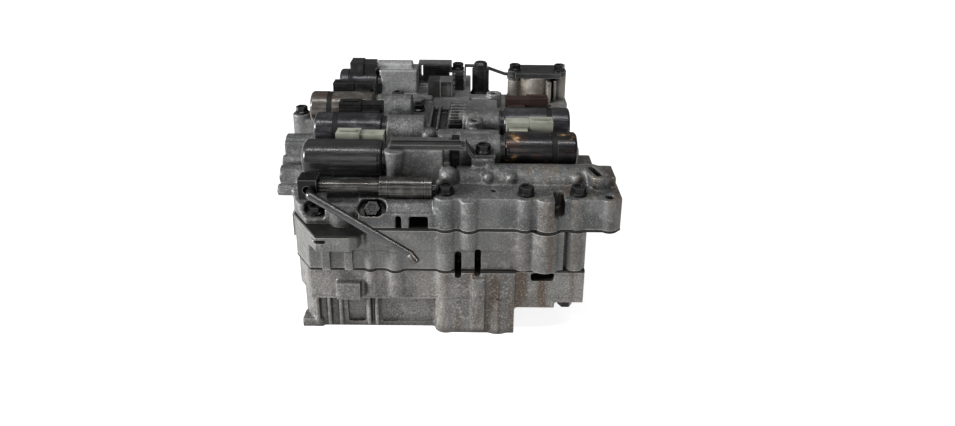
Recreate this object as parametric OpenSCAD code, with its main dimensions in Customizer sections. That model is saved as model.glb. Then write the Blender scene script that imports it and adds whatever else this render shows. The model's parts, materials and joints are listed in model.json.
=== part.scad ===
// Valve body of an automatic transmission: three stacked castings, two separator plates,
// solenoids on both sides, a manual valve with its link rod, spool valves and an accumulator.
// Millimetres, +Z up, +Y away from the front. The origin is on the case face, under the stack.

/* [Castings] */
// Height of the lower casting
lower_h = 54; // [52:1:58]
// Height of the middle casting
middle_h = 33; // [32:1:38]
// Height of the upper casting's deck above its joint face
deck_h = 25; // [24:0.5:28]
// Height of the upper casting's side wings above its joint face
wing_h = 12; // [10:0.5:12.5]
// Distance from the origin to the front face
front_d = 165; // [163:1:168]
// Distance from the origin to the rear face
rear_d = 148; // [146:1:154]
// Distance from the origin to the right end of the front flange
flange_x = 138; // [135:1:142]
// Underside of the overhanging right part of the lower casting
step_z = 27; // [25:0.5:30]
// Thickness of a separator plate
plate_t = 1; // [0.8:0.1:1.4]
// Thickness of a gasket
gasket_t = 0.3; // [0.2:0.05:0.5]

/* [Solenoids] */
// Diameter of a solenoid can
can_d = 30; // [28:0.5:31]
// Length of a full solenoid can
can_l = 58; // [54:1:60]
// Length of the short rear solenoid can
short_can_l = 40; // [36:1:44]
// Diameter of a solenoid sleeve
sleeve_d = 17; // [15:0.5:18]
// Length of a solenoid sleeve inside its bore
sleeve_l = 30; // [24:1:32]
// Height of the solenoid axes above the deck
axis_rise = 12.5; // [12:0.25:14]
// Width of a socket across the can
socket_w = 13; // [12:0.5:14]
// Height of a socket
socket_h = 12; // [11:0.5:13]
// Length of a socket along the can
socket_l = 38; // [34:1:40]

/* [Valves] */
// Diameter of a spool valve
spool_d = 12.4; // [11:0.2:13]
// Length of a spool valve
spool_l = 28; // [26:1:30]
// Travel of a spool valve
spool_travel = 5; // [3:0.5:6]
// Diameter of the manual valve's land
manual_d = 16; // [14:0.5:17]
// Diameter of the manual valve's stem
stem_d = 10; // [8:0.5:12]
// Travel of the manual valve
manual_travel = 18; // [12:1:18]
// Diameter of the link rod
rod_d = 6; // [5:0.25:6.5]
// Radial gap round a moving valve
valve_gap = 0.3; // [0.25:0.05:0.5]

/* [Accumulator] */
// Diameter of the accumulator piston
piston_d = 28; // [25:0.5:29]
// Height of the accumulator piston
piston_h = 10; // [8:0.5:11]
// Stroke of the accumulator piston
piston_stroke = 6; // [4:0.5:7]
// Height of the accumulator body
accum_h = 26; // [25:0.5:30]
// Thickness of the accumulator cover
cover_t = 5; // [4:0.5:7]

/* [Fasteners] */
// Shank diameter of the body bolts
bolt_d = 6; // [5:0.25:6]
// Diameter of a clearance hole for a body bolt
bolt_hole_d = 6.6; // [6.5:0.1:7.2]
// Width across flats of a bolt head
head_af = 10; // [9:0.25:10.5]
// Diameter of a bolt flange
flange_d = 13; // [12:0.25:13.5]
// Height of a bolt head with its flange
head_h = 6.5; // [5.5:0.25:7.5]
// Diameter of the holes for the case bolts
case_hole_d = 7; // [6.6:0.1:8]

/* [Hidden] */
$fn = 48;
e = 0.5;
fy = -front_d;
ry = rear_d;
joint_t = plate_t + 2 * gasket_t;
z1 = lower_h;
z2 = z1 + joint_t;
z3 = z2 + middle_h;
z4 = z3 + joint_t;
zw = z4 + wing_h;
zd = z4 + deck_h;
zs = zd + axis_rise;
can_r = can_d / 2;
sleeve_r = sleeve_d / 2;
sleeve_bore_r = sleeve_r + 0.35;
ridge_r = sleeve_r + 4.5;
spool_r = spool_d / 2;
spool_bore_r = spool_r + valve_gap;
spool_ridge_r = spool_bore_r + 4.5;
spring_wire = 1.1;
spring_r = spool_r - 2.2;
spring_l = spool_travel + 8;
plug_l = 7;
key_t = 2;
bore_l = plug_l + spool_l + spring_l;
spool_z = zd + 6.5;
manual_r = manual_d / 2;
manual_y = fy + 12;
manual_z = zd + 3.5;
rod_r = rod_d / 2;
case_r = case_hole_d / 2;
hole_r = bolt_hole_d / 2;

// Solenoids: direction of the can, inner end, row, lift, can length, place of the socket and
// its length, height and width. The short can carries a wide socket on its back.
slim = [socket_l, socket_h, socket_w];
wide = [socket_l - 12, socket_h + 3, socket_w + 7];
wide_place = [-1, can_r + wide[1] / 2 - 5];
solenoids = [
    [-1, -43, fy + 44, 0, can_l + 4, [20, 9], slim],
    [-1, -51, fy + 106, 0, can_l, [17, 14], slim],
    [-1, -67, fy + 163, 0, can_l, [17, 14], slim],
    [-1, -74, ry - 62, -4, short_can_l, wide_place, wide],
    [1, 52, fy + 64, 0, can_l, [17, 14], slim],
    [1, 53, fy + 123, 0, can_l, [17, 14], slim]];

// Spool valves: direction of the mouth, mouth, row, height
spools = [
    [-1, -44, fy + 75, spool_z],
    [1, 49, fy + 93.5, spool_z],
    [-1, -115, 4, z2 + middle_h / 2],
    [1, 60, 40, 15]];

// Bolts that hold the stack together: place, height of the seat and bottom of the hole
low_end = z1 - 20;
high_end = z2 + 8;
front_seat = z4 + 5;
body_bolts = [
    [7, fy + 10, zd, low_end], [67, fy + 9, zd, low_end], [106, fy + 10, zd, low_end],
    [-92, fy + 14, front_seat, low_end], [-102, ry - 28, zw, high_end], [-8, ry - 13, zd, high_end],
    [-58, ry - 13, zw, high_end], [76, ry - 13, zw, high_end], [-102, -31, zw, low_end],
    [101, -12, zw, low_end], [101, 62, zw, low_end]];

// Bolts that come up from below: place and height of the seat
under_bolts = [
    [100, fy + 8.5, step_z], [-96, -104, 8], [44, -130, 8],
    [-96, 96, 8], [44, 102, 8], [90, 10, step_z], [-24, -20, 8]];
under_top = z3 - 14;

// Small bolts on top: place and height of the seat
tab_z = zd + 16;
tab_t = 2.4;
lock_z = zs + ridge_r + 0.1;
ear_z = zd + 3;
boss_z = zd - 1.5;
yoke_z = zd + 23;
rear_tab_z = yoke_z - 8;
rear_bolt = [8.5, ry - 36];
pillar_x = rear_bolt[0] + flange_d / 2 + 0.2;
top_bolts = [
    [35, fy + 45, tab_z + tab_t], [-141, fy + 185, boss_z], [-52, ry - 84, zd],
    [-28, fy + 191, zd], [rear_bolt[0], rear_bolt[1], rear_tab_z + tab_t]];
top_shank = 14;

// Screw in the slanted recess of the front ledge
slant = 42;
slant_at = [-48, fy + 10, z4 + 9];

// Case bolts pass through the whole stack between the solenoids
case_x = [-88, 98];
case_y = [-80, 32];
// Open hole at the end of the front flange
flange_hole_x = flange_x - 9;
flange_hole_y = fy + 6;

accum_x = 94;
accum_y = ry - 36;
accum_r = piston_d / 2 + 5.5;
accum_z = zw;
cover_z = accum_z + accum_h;
accum_bolt_x = [70, 118];
accum_bolt_y = ry - 40;
post_x = 33;
post_y = ry - 38;
post_z = zw;
post_top = zd + 26;
strap_t = 1.6;
ring_drop = 5;
ring_z = cover_z - ring_drop;

// A box between two corners
module block(x0, x1, y0, y1, z0, z1) {
    translate([x0, y0, z0])
        cube([x1 - x0, y1 - y0, z1 - z0]);
}

// An upright cylinder
module post(x, y, z0, z1, r) {
    translate([x, y, z0])
        cylinder(h = z1 - z0, r = r);
}

// A cylinder along X
module bar(x0, x1, y, z, r) {
    translate([x0, y, z])
        rotate([0, 90, 0])
            cylinder(h = x1 - x0, r = r);
}

// A section in Y and Z drawn out along X
module rail(x0, x1, points) {
    translate([x0, 0, 0])
        rotate([90, 0, 90])
            linear_extrude(height = x1 - x0)
                polygon(points);
}

// Half-round ridge over a bore, carried on a web down to the deck
module ridge(x0, x1, y, z, r, foot) {
    bar(x0, x1, y, z, r);
    block(x0, x1, y - r, y + r, foot, z);
}

module each_at(places) {
    for (p = places)
        translate([p[0], p[1], 0])
            children();
}

// Turns a piece made along +X, mouth at x = 0, to its side and row
module facing(side, x, y, z) {
    translate([x, y, z])
        rotate([0, 0, side > 0 ? 0 : 180])
            children();
}

// Half a turn of spring wire, tilted so that it climbs
module half_turn(r, wire, start, tilt) {
    rotate([0, tilt, 0])
        rotate([0, 0, start + 1])
            rotate_extrude(angle = 178)
                translate([r, 0])
                    circle(r = wire / 2, $fn = 24);
}

// Upright compression spring: half turns that climb in a zigzag, with a ball at each meeting
module spring(length, r, wire, turns) {
    ball = wire * 0.53;
    pitch = (length - 2 * ball) / turns;
    tilt = asin(pitch / 4 / r);
    reach = r * cos(tilt);
    translate([0, 0, ball])
        for (i = [0:turns - 1])
            translate([0, 0, i * pitch]) {
                translate([0, 0, pitch / 4])
                    half_turn(r, wire, 0, tilt);
                translate([0, 0, pitch * 3 / 4])
                    half_turn(r, wire, 180, -tilt);
                translate([-reach, 0, pitch / 2])
                    sphere(r = ball);
                translate([reach, 0, pitch])
                    sphere(r = ball);
            }
}

// Plan of the upper casting
module upper_plan() {
    polygon([
        [-110, fy + 23], [-98, fy + 5], [-58, fy + 5], [-54, fy],
        [flange_x - 4, fy], [flange_x, fy + 4], [flange_x, fy + 48], [127, fy + 56],
        [127, fy + 92], [112, fy + 98], [112, ry - 70], [126, ry - 60], [126, ry - 12], [116, ry],
        [66, ry], [62, ry - 30], [20, ry - 30], [16, ry], [-70, ry], [-116, ry - 14],
        [-116, fy + 54], [-112, fy + 40]]);
}

// Plan of the middle casting
module middle_plan() {
    polygon([
        [-111, fy + 22], [-96, fy], [96, fy], [96, fy + 4], [111, fy + 4],
        [111, ry - 28], [98, ry - 10], [-92, ry - 10], [-114.5, ry - 26], [-114.5, fy + 40]]);
}

// Plan of the ledge that the middle casting carries at its front left corner
module ledge_plan() {
    polygon([
        [-111, fy + 22], [-88, fy - 12], [-63, fy - 12], [-58, fy - 8], [-56, fy - 1],
        [-51, fy + 2], [-51, fy + 30], [-111, fy + 30]]);
}

// Tongue of the upper separator plate beside that ledge
module tongue_plan() {
    polygon([
        [-70, fy - 12], [-57, fy - 12], [-52, fy - 4], [-47, fy + 1], [-47, fy + 6],
        [-70, fy + 6]]);
}

// Plan of the part of the lower casting that reaches the case
module lower_plan() {
    polygon([
        [-106, fy + 20], [-97, fy + 6], [3, fy + 6], [3, fy - 2], [60, fy - 2],
        [60, ry - 32], [48, ry - 20], [-88, ry - 20], [-110, ry - 38], [-110, fy + 36]]);
}

// Plan of the overhanging right part of the lower casting
module overhang_plan() {
    polygon([[50, fy], [113, fy], [113, ry - 60], [104, ry - 50], [50, ry - 50]]);
}

// Half-round columns on the front: place, radius, bottom and top
columns = [
    [7, fy + 6, 9, 0, zd], [24.5, fy + 3, 7.5, z2 + 18, zd - 1],
    [66, fy + 5, 7.5, z2, zd], [83, fy + 5, 10, z4, zd], [82, fy + 6, 12, z2, z3],
    [105, fy + 7, 8.5, z2, zd],
    [129, fy + 5, 7, z4, zd], [-31, fy + 4, 7.5, 32, z2 + 19], [-50, fy + 3, 5, 32, z3]];

module columns_between(z_from, z_to) {
    for (c = columns)
        if (max(c[3], z_from) < min(c[4], z_to))
            post(c[0], c[1], max(c[3], z_from), min(c[4], z_to), c[2]);
}

// Holes that every layer of the stack has
module stack_holes(z_from, z_to) {
    for (b = body_bolts)
        if (b[3] < z_to)
            post(b[0], b[1], max(z_from - e, b[3]), z_to + e, hole_r);
    for (x = case_x, y = case_y)
        post(x, y, z_from - e, z_to + e, case_r);
}

// Holes of the bolts from below
module under_holes(z_from, z_to) {
    each_at(under_bolts)
        post(0, 0, z_from - e, min(z_to, under_top) + e, hole_r);
}

// Slots in the front face that cross the lower joint
slot_deep = 20;
module front_slots() {
    block(14, 19, fy - 9, fy + slot_deep, z1 - 5, z2 + 15);
    block(29, 33.5, fy - 9, fy + slot_deep, z1 - 3, z2 + 17);
}

// Bore of one spool valve with its cross slot for the key
module spool_bore(s) {
    facing(s[0], s[1], s[2], s[3])
        bar(-bore_l, e, 0, 0, spool_bore_r);
}

module key_slot(s) {
    facing(s[0], s[1], s[2], s[3])
        block(-plug_l + 2, -plug_l + 2 + key_t, -5, 5, -spool_bore_r - 3, spool_bore_r);
}

// Oil channels: rounded grooves through a row of points
module channel(points, width, depth) {
    for (i = [0:len(points) - 2]) {
        a = points[i];
        b = points[i + 1];
        along = [b[0] - a[0], b[1] - a[1]];
        translate([a[0], a[1], 0])
            rotate([0, 0, atan2(along[1], along[0])])
                translate([0, -width / 2, -e])
                    cube([norm(along), width, depth + e]);
        post(a[0], a[1], -e, depth, width / 2);
        post(b[0], b[1], -e, depth, width / 2);
    }
}

case_channels = [
    [[-80, -130], [-40, -130], [-40, -90], [10, -90]],
    [[-70, -60], [-70, 20], [-40, 20], [-40, 70]],
    [[20, -60], [20, 0], [46, 0], [46, 66]],
    [[-60, 100], [10, 100], [10, 60]],
    [[-6, -130], [30, -130], [30, -106]],
    [[-90, 50], [-66, 50], [-66, 76]]];

module lower_body() {
    color("#8a8b8c")
    difference() {
        union() {
            linear_extrude(height = z1)
                lower_plan();
            translate([0, 0, step_z])
                linear_extrude(height = z1 - step_z)
                    overhang_plan();
            block(58, 91, fy, fy + 20, step_z - 5, step_z + 1);
            columns_between(0, z1);
            // Upper half of the front left face stands forward of the lower half
            block(-97, 4, fy + 1, fy + 12, 31, z1);
            // Front left corner flares out above the parting ridge
            translate([0, 0, 31])
                linear_extrude(height = z1 - 31)
                    polygon([[-109, fy + 20], [-99, fy + 5], [-90, fy + 5], [-90, fy + 36],
                        [-112.5, fy + 36]]);
            // Parting ridge
            block(-97, 4, fy, fy + 8, 29, 31.5);
            // Stub boss on the front left face
            block(-76, -58, fy - 5, fy + 4, 31, 45);
            // Ribs of the lower half
            for (x = [-93, -84, -75, -53, -47])
                block(x - 1.6, x + 1.6, fy + 2, fy + 8, 3, 31);
            // Foot at the front left corner
            block(-106, -90, fy + 4, fy + 16, 0, 7);
            // Wedge rib and round boss of the middle part
            rail(27, 37, [[fy - 1, 2], [fy - 4, 4], [fy - 7, z1 - 3], [fy - 1, z1 - 3]]);
            post(47, fy + 9, 0, 30, 13);
            // Bosses on the left side, the right side and the rear
            for (y = [-104, -58, 20, 96])
                post(-105, y, 0, z1, 9);
            // Left side flares out above the parting ridge
            block(-113, -100, fy + 34, 60, 33, z1);
            block(-112, -100, fy + 34, -60, 24, 34);
            for (y = [-110, -40, 60])
                post(110, y, step_z, z1, 8);
            for (y = [-120, -20, 96])
                post(57, y, 0, z1, 8);
            for (x = [-70, -20, 30])
                post(x, ry - 23, 0, z1, 9);
            block(-114, -100, -84, -72, 12, 40);
            block(-114, -100, 46, 70, 8, 30);
            for (x = [-52, 4])
                block(x, x + 24, ry - 24, ry - 14, 10, 36);
            // Boss round the spool valve on the right side
            bar(50, 60, spools[3][2], spools[3][3], spool_bore_r + 5);
        }
        stack_holes(0, z1);
        under_holes(0, z1);
        each_at([for (b = under_bolts) if (b[2] < step_z) b])
            post(0, 0, -e, 8, 9);
        front_slots();
        // Notch at the top of the overhang
        block(72, 90, fy - 3, fy + 14, z1 - 8, z1 - 1.5);
        spool_bore(spools[3]);
        key_slot(spools[3]);
        for (c = case_channels)
            channel(c, 6, 7);
        // Passages up to the plate
        for (p = [[10, -90], [-40, 70], [46, 66], [-60, 100], [-66, 76], [30, -106]])
            post(p[0], p[1], 5, z1 + e, 2.6);
        // Recesses in the lower left face between the ribs
        block(-70, -56, fy + 5, fy + 9, 4, 28);
        block(-44, -2, fy + 5, fy + 8, 4, 28);
    }
}

// Separator plates and gaskets follow the castings that they part
module lower_joint_plan() {
    difference() {
        union() {
            middle_plan();
            lower_plan();
            overhang_plan();
            for (c = columns)
                if (c[4] > z1 + 5 && c[3] < z1 - 5)
                    translate([c[0], c[1]])
                        circle(r = c[2]);
        }
        translate([14, fy - 9])
            square([5, 9 + slot_deep]);
        translate([29, fy - 9])
            square([4.5, 9 + slot_deep]);
        joint_holes(z1);
        for (b = under_bolts)
            translate([b[0], b[1]])
                circle(r = hole_r);
        for (p = [[10, -90], [-40, 70], [46, 66], [-60, 100], [-66, 76], [30, -106]])
            translate(p)
                circle(r = 1.6);
    }
}

module upper_joint_plan() {
    difference() {
        union() {
            upper_plan();
            ledge_plan();
            tongue_plan();
            for (c = columns)
                if (c[4] > z4 && c[3] < z4 + e)
                    translate([c[0], c[1]])
                        circle(r = c[2]);
        }
        joint_holes(z3);
        translate([flange_hole_x, flange_hole_y])
            circle(r = hole_r);
        for (p = [[-70, -60], [-20, -100], [30, 40], [70, -60], [-60, 60], [accum_x - 10, accum_y]])
            translate(p)
                circle(r = 1.6);
    }
}

module joint_holes(z) {
    for (b = body_bolts)
        if (b[3] < z)
            translate([b[0], b[1]])
                circle(r = hole_r);
    for (x = case_x, y = case_y)
        translate([x, y])
            circle(r = case_r);
    for (p = pins)
        translate([p[0], p[1]])
            circle(r = pin_r + 0.2);
}

pin_r = 3;
pins = [[-62, fy + 37], [84, ry - 50]];

module lower_gasket_under() {
    color("#1d1c1b")
    translate([0, 0, z1])
        linear_extrude(height = gasket_t)
            lower_joint_plan();
}

module lower_plate() {
    color("#3a3b3d")
    translate([0, 0, z1 + gasket_t])
        linear_extrude(height = plate_t)
            lower_joint_plan();
}

module lower_gasket_over() {
    color("#1d1c1b")
    translate([0, 0, z1 + gasket_t + plate_t])
        linear_extrude(height = gasket_t)
            lower_joint_plan();
}

module upper_gasket_under() {
    color("#1d1c1b")
    translate([0, 0, z3])
        linear_extrude(height = gasket_t)
            upper_joint_plan();
}

module upper_plate() {
    color("#3a3b3d")
    translate([0, 0, z3 + gasket_t])
        linear_extrude(height = plate_t)
            upper_joint_plan();
}

module upper_gasket_over() {
    color("#1d1c1b")
    translate([0, 0, z3 + gasket_t + plate_t])
        linear_extrude(height = gasket_t)
            upper_joint_plan();
}

// Pockets for the check balls in the top of the middle casting
ball_r = 3.2;
balls = [[-70, -60], [-20, -100], [30, 40], [70, -60], [-60, 60]];

module middle_body() {
    color("#8d8e8f")
    difference() {
        union() {
            translate([0, 0, z2])
                linear_extrude(height = middle_h)
                    middle_plan();
            translate([0, 0, z3 - 12])
                linear_extrude(height = 12)
                    ledge_plan();
            columns_between(z2, z3);
            // Raised pad and ribs of the front left face
            for (x = [-83, -66])
                block(x - 3, x + 3, fy - 3, fy + 4, z2, z3 - 11);
            // Bosses on the sides and the rear
            for (y = [-104, -58, 96])
                post(-107, y, z2, z3, 9);
            for (y = [-110, -12, 62])
                post(106, y, z2, z3, 9);
            for (x = [-60, 0, 54])
                post(x, ry - 14, z2, z3, 10);
            for (b = body_bolts)
                if (b[3] > z2)
                    post(b[0], b[1], z2, z3, hole_r + 4);
            block(-118, -100, 36, 62, z2 + 4, z3 - 5);
            block(100, 117, 14, 44, z2 + 5, z3 - 6);
            for (x = [-38, 22])
                block(x, x + 20, ry - 14, ry - 4, z2 + 6, z3 - 8);
            bar(-115, -96, spools[2][2], spools[2][3], spool_bore_r + 4.5);
            bar(-118, -100, fy + 58, z2 + 18, 8);
            block(-116, -100, fy + 34, fy + 44, z2 + 8, z3 - 4);
        }
        stack_holes(z2, z3);
        under_holes(z2, z3);
        front_slots();
        // Slit under the ledge
        block(-98, -80, fy - 16, fy - 6, z3 - 5.5, z3 - 3);
        spool_bore(spools[2]);
        key_slot(spools[2]);
        for (b = balls)
            post(b[0], b[1], z3 - ball_r * 2 - 1, z3 + e, ball_r + 0.4);
        for (p = pins)
            post(p[0], p[1], z3 - 8, z3 + e, pin_r + 0.05);
        // Passages from joint to joint
        for (p = [[10, -90], [-40, 70], [46, 66], [-60, 100], [-66, 76], [30, -106]])
            post(p[0], p[1], z2 - e, z2 + 12, 2.6);
    }
}

// Deck, ridges and bosses of the upper casting, before the bores are cut
module upper_solid() {
    translate([0, 0, z4])
        linear_extrude(height = wing_h)
            upper_plan();
    columns_between(z4, zd);
    // Middle block between the solenoids
    block(-46, 50, fy + 40, ry - 88, z4, zd);
    block(-46, 22, ry - 89, ry - 2, z4, zd);
    // Front flange with its cast ridge
    translate([0, 0, z4])
        linear_extrude(height = deck_h)
            polygon([[0, fy], [flange_x - 4, fy], [flange_x, fy + 4], [flange_x, fy + 48],
                [120, fy + 52], [0, fy + 52]]);
    bar(14, 40, fy + 37, zd - 3, 12);
    bar(38, 121, fy + 37, zd - 3, 14);
    for (x = [39, 57, 107]) {
        post(x, fy + 27.5, z4, zd + 4.5, 4.5);
        translate([x, fy + 27.5, zd + 4.5])
            sphere(r = 4.5);
    }
    block(118, flange_x - 2, fy + 22, fy + 46, z4, zd + 8);
    // Slotted boss at the right end
    translate([121, fy + 29, z4])
        rotate([0, 0, 18])
            linear_extrude(height = deck_h + 10.5)
                union() {
                    square([15, 14], center = true);
                    translate([0, 7])
                        circle(r = 7.5);
                    translate([0, -7])
                        circle(r = 7.5);
                }
    // Ledge that carries the manual valve
    rail(-84, 1, [[fy + 6, z4], [fy + 6, z4 + 8], [fy + 13, z4 + 19], [fy + 45, z4 + 19],
        [fy + 45, z4]]);
    rail(-58, 1, [[fy, z4], [fy, z4 + 9], [fy + 11, z4 + 22.5], [fy + 26, z4 + 22.5], [fy + 26, z4]]);
    // Rounded boss beside the front left bolt
    post(-70, fy + 9, z4, z4 + 13, 10);
    block(-112, -97, fy + 26, fy + 46, z4, z4 + 17);
    // Dome and pillar at the right end of the manual valve
    post(9, fy + 26, z4, zd + 6.5, 7.3);
    translate([9, fy + 26, zd + 6.5])
        sphere(r = 7.3);
    // Wall and cone that carry the lock plate, before the first solenoid's bore
    block(-38, 4, fy + 30, fy + 44, z4, lock_z);
    translate([-33, fy + 31, z4 + 14])
        cylinder(h = lock_z - z4 - 14, r1 = 4, r2 = 8);
    block(26, 44, fy + 36, fy + 62, z4, tab_z);
    // Ridges over the solenoid bores
    for (s = solenoids)
        if (s[3] == 0)
            facing(s[0], s[1], s[2], zs + s[3])
                ridge(-sleeve_l - 6, -3.4, 0, 0, ridge_r, z4 - zs);
    // Ridges over the spool bores
    for (s = [spools[0], spools[1]])
        facing(s[0], s[1], s[2], s[3])
            ridge(-bore_l - 4, 0, 0, 0, spool_ridge_r, z4 - s[3]);
    bar(14, 47, fy + 150, zd + 3, 11);
    // Dome behind the lock plate and ribs along the middle
    post(-11, fy + 98, z4, zd + 10, 8);
    translate([-11, fy + 98, zd + 10])
        sphere(r = 8);
    for (y = [109, 116, 141, 149, 157, 165, 173, 181])
        block(4, 19, fy + y - 1.2, fy + y + 1.2, z4, zd + 10);
    block(2, 5, fy + 105, fy + 205, z4, zd + 6);
    block(-13, 3, fy + 183, fy + 211, z4, zd + 5);
    for (x = [-13, -6])
        block(x - 1.2, x + 1.2, fy + 123, fy + 185, z4, zd + 8);
    post(-28, fy + 191, z4, zd, 9);
    post(-52, ry - 84, z4, zd, 8);
    // Pad of the second clamp
    block(8, 16, fy + 75.5, fy + 82, z4, zd + 8);
    post(-30, fy + 209, z4, zd + 7, 7);
    block(-44, -16, ry - 98, ry - 86, z4, zd + 4);
    // Ears with holes on the right of the middle
    post(28, fy + 108, z4, zs + 9, 7);
    post(47, ry - 74, z4, ear_z, 8);
    block(20, 47, ry - 82, ry - 66, z4, ear_z - 4);
    // Tall block over the rear solenoid and the ridge behind it
    block(-72, -33, ry - 73, ry - 46.5, z4, zd + 26);
    bar(-75, -38, ry - 61, zd + 26.5, 7);
    block(-78, -38, ry - 48, ry - 26, z4, zd + 12);
    // Pads under the two switching solenoids
    block(-34, 17, ry - 48, ry - 22, z4, zd + 4);
    block(2, pillar_x, ry - 43.5, ry - 28.5, z4, rear_tab_z);
    block(-24, 8, ry - 84, ry - 62, z4, zd + 0.5);
    // Base of the relief valve
    post(post_x, post_y, z4, zw, 14);
    // Bore ends and bosses on the left
    bar(-125, -100, fy + 33, z4 + 15, 4.8);
    bar(-130, -100, fy + 62, z4 + 14.5, 8);
    bar(-133, -100, fy + 81, z4 + 18, 5.5);
    block(-122, -100, fy + 76.5, fy + 85.5, z4, z4 + 18);
    block(-143, -110, fy + 121, fy + 143, z4, zd - 7);
    bar(-143, -110, fy + 132, zd - 14, 11);
    post(-141, fy + 185, z4, boss_z, 9);
    block(-141, -110, fy + 176, fy + 194, z4, boss_z - 4);
    // Stepped block behind the right solenoid
    block(104, 126, fy + 72, fy + 92, z4, zd - 3);
    block(104, 115, fy + 76, fy + 90, z4, zd + 8);
    // Bosses on the rear and the right side
    for (x = [-30, 4])
        post(x, ry - 6, z4, zw + 4, 9);
    for (y = [-12, 62])
        post(106, y, z4, zw, 9);
    bar(100, 119, 6, z4 + 8, 7);
    bar(100, 119, 47, z4 + 8, 7);
    post(-109, 52, z4, zw + 6, 8);
    post(-109, ry - 16, z4, zw, 9);
}

module upper_body() {
    color("#87888a")
    difference() {
        upper_solid();
        stack_holes(z4, zd + 40);
        // Room for the bolt heads
        each_at([body_bolts[3]])
            post(0, 0, front_seat, zd + 40, 8.5);
        block(-112, -83.5, fy - e, fy + 14, front_seat, zd + 40);
        // Slanted recess of the front ledge and the hole of its screw
        translate(slant_at)
            rotate([slant, 0, 0]) {
                cylinder(h = 30, r = 6.8);
                translate([-4, 0, 0])
                    cylinder(h = 30, r = 6.8);
                translate([4, 0, 0])
                    cylinder(h = 30, r = 6.8);
                translate([0, 0, -slant_shank - 1])
                    cylinder(h = slant_shank + 2, r = hole_r - 0.8);
            }
        post(flange_hole_x, flange_hole_y, z4 - e, zd + 20, hole_r);
        // Room round the cans
        for (s = solenoids)
            facing(s[0], s[1], s[2], zs + s[3])
                bar(-3.4, s[4] + 12, 0, 0, can_r + 1);
        // Bores of the solenoid sleeves
        for (s = solenoids)
            facing(s[0], s[1], s[2], zs + s[3])
                bar(-3.4 - sleeve_l, 0, 0, 0, sleeve_bore_r);
        for (s = [spools[0], spools[1]]) {
            spool_bore(s);
            key_slot(s);
        }
        // Half-round trough of the manual valve
        bar(-93, 0, manual_y, manual_z, manual_r + valve_gap);
        block(-93, 0, manual_y - manual_r - valve_gap, manual_y + manual_r + valve_gap,
            manual_z, zd + 30);
        // Windows in the front left face, open to the plate
        block(-30, -26, fy - 2, fy + 18, z4 - e, z4 + 8);
        translate([-28, fy + 18, z4 + 8])
            rotate([90, 0, 0])
                cylinder(h = 20, r = 2);
        block(-20, -6, fy - 2, fy + 18, z4 - e, z4 + 9.5);
        // Hooked notch between the two right bolts
        block(87.5, 95, fy - 8, fy + 15, zd - 10.5, zd + 2);
        translate([91.25, fy + 15, zd - 10.5])
            rotate([90, 0, 0])
                cylinder(h = 23, r = 3.75);
        // Dark well under the lock plate
        block(8.5, 15.5, fy + 53.5, fy + 75, z4 + 5, zd + 30);
        post(43, fy + 15, zd - 10, zd + e, 2.2);
        // Slot in the boss at the right end
        translate([121, fy + 29, zd])
            rotate([0, 0, 18])
                block(-2.6, 2.6, -8.5, 8, -2, 14);
        // Holes in the ears
        post(28, fy + 108, zs - 8, zs + 20, 3);
        post(47, ry - 74, zd - 8, ear_z + e, 3.3);
        // Threaded holes of the small bolts
        each_at(top_bolts)
            post(0, 0, zd - 16, zd + 60, hole_r);
        // Sockets of the switching solenoids and of the relief valve
        post(-15, ry - 35, zd - 6, zd + 20, 7.3);
        post(-3, ry - 73, zd - 9, zd + 20, 6.3);
        post(post_x, post_y, z4 + 4, zw + 1, 6.3);
        // Feed of the accumulator
        post(accum_x - 10, accum_y, z4 - e, zw + e, 2.6);
        for (p = pins)
            post(p[0], p[1], z4 - e, z4 + 6, pin_r + 0.05);
        for (x = accum_bolt_x)
            post(x, accum_bolt_y, z4 + 2, zw + e, hole_r);
    }
}

module locating_pins() {
    color("#b9babb")
    for (p = pins)
        post(p[0], p[1], z3 - 7.5, z4 + 5.5, pin_r);
}

module check_balls() {
    color("#c4c5c6")
    for (b = balls)
        translate([b[0], b[1], z3 - ball_r - 1])
            sphere(r = ball_r);
}

// Hexagon bolt with a flange, seat at z = 0
module flange_bolt(shank, d) {
    difference() {
        union() {
            cylinder(h = 1.4, r = flange_d / 2);
            translate([0, 0, 1.4])
                cylinder(h = 1.2, r1 = flange_d / 2, r2 = head_af / 2 + 0.4);
            cylinder(h = head_h, r = head_af / 2 / cos(30), $fn = 6);
            translate([0, 0, -shank])
                cylinder(h = shank + 0.1, r = d / 2);
        }
        translate([0, 0, head_h - 0.8])
            cylinder(h = 2, r = head_af / 2 - 1.4);
    }
}

module stack_bolts() {
    color("#202022")
    for (b = body_bolts)
        translate([b[0], b[1], b[2]])
            flange_bolt(b[2] - b[3] - 1, bolt_d);
}

module lower_bolts() {
    color("#202022")
    for (b = under_bolts)
        translate([b[0], b[1], b[2]])
            rotate([180, 0, 0])
                flange_bolt(under_top - b[2], bolt_d);
}

slant_shank = 8;
module deck_bolts() {
    color("#202022")
    union() {
        for (b = top_bolts)
            translate([b[0], b[1], b[2]])
                flange_bolt(top_shank, bolt_d);
        translate(slant_at)
            rotate([slant, 0, 0])
                flange_bolt(slant_shank, bolt_hole_d - 2.4);
    }
}

// One solenoid can, closed at its outer end and crimped at its inner end
module can(s) {
    r = can_r;
    length = s[4];
    facing(s[0], s[1], s[2], zs + s[3])
        rotate([90, 0, 90])
            rotate_extrude()
                polygon([
                    [0, 0], [r - 2.5, 0], [r - 0.6, 1], [r - 0.6, 3], [r, 4],
                    [r, length * 0.66], [r - 0.4, length * 0.66 + 0.3],
                    [r - 0.4, length * 0.66 + 3.5], [r, length * 0.66 + 3.8],
                    [r, length - 3], [r - 0.9, length - 0.9], [r - 3, length], [0, length]]);
}

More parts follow.
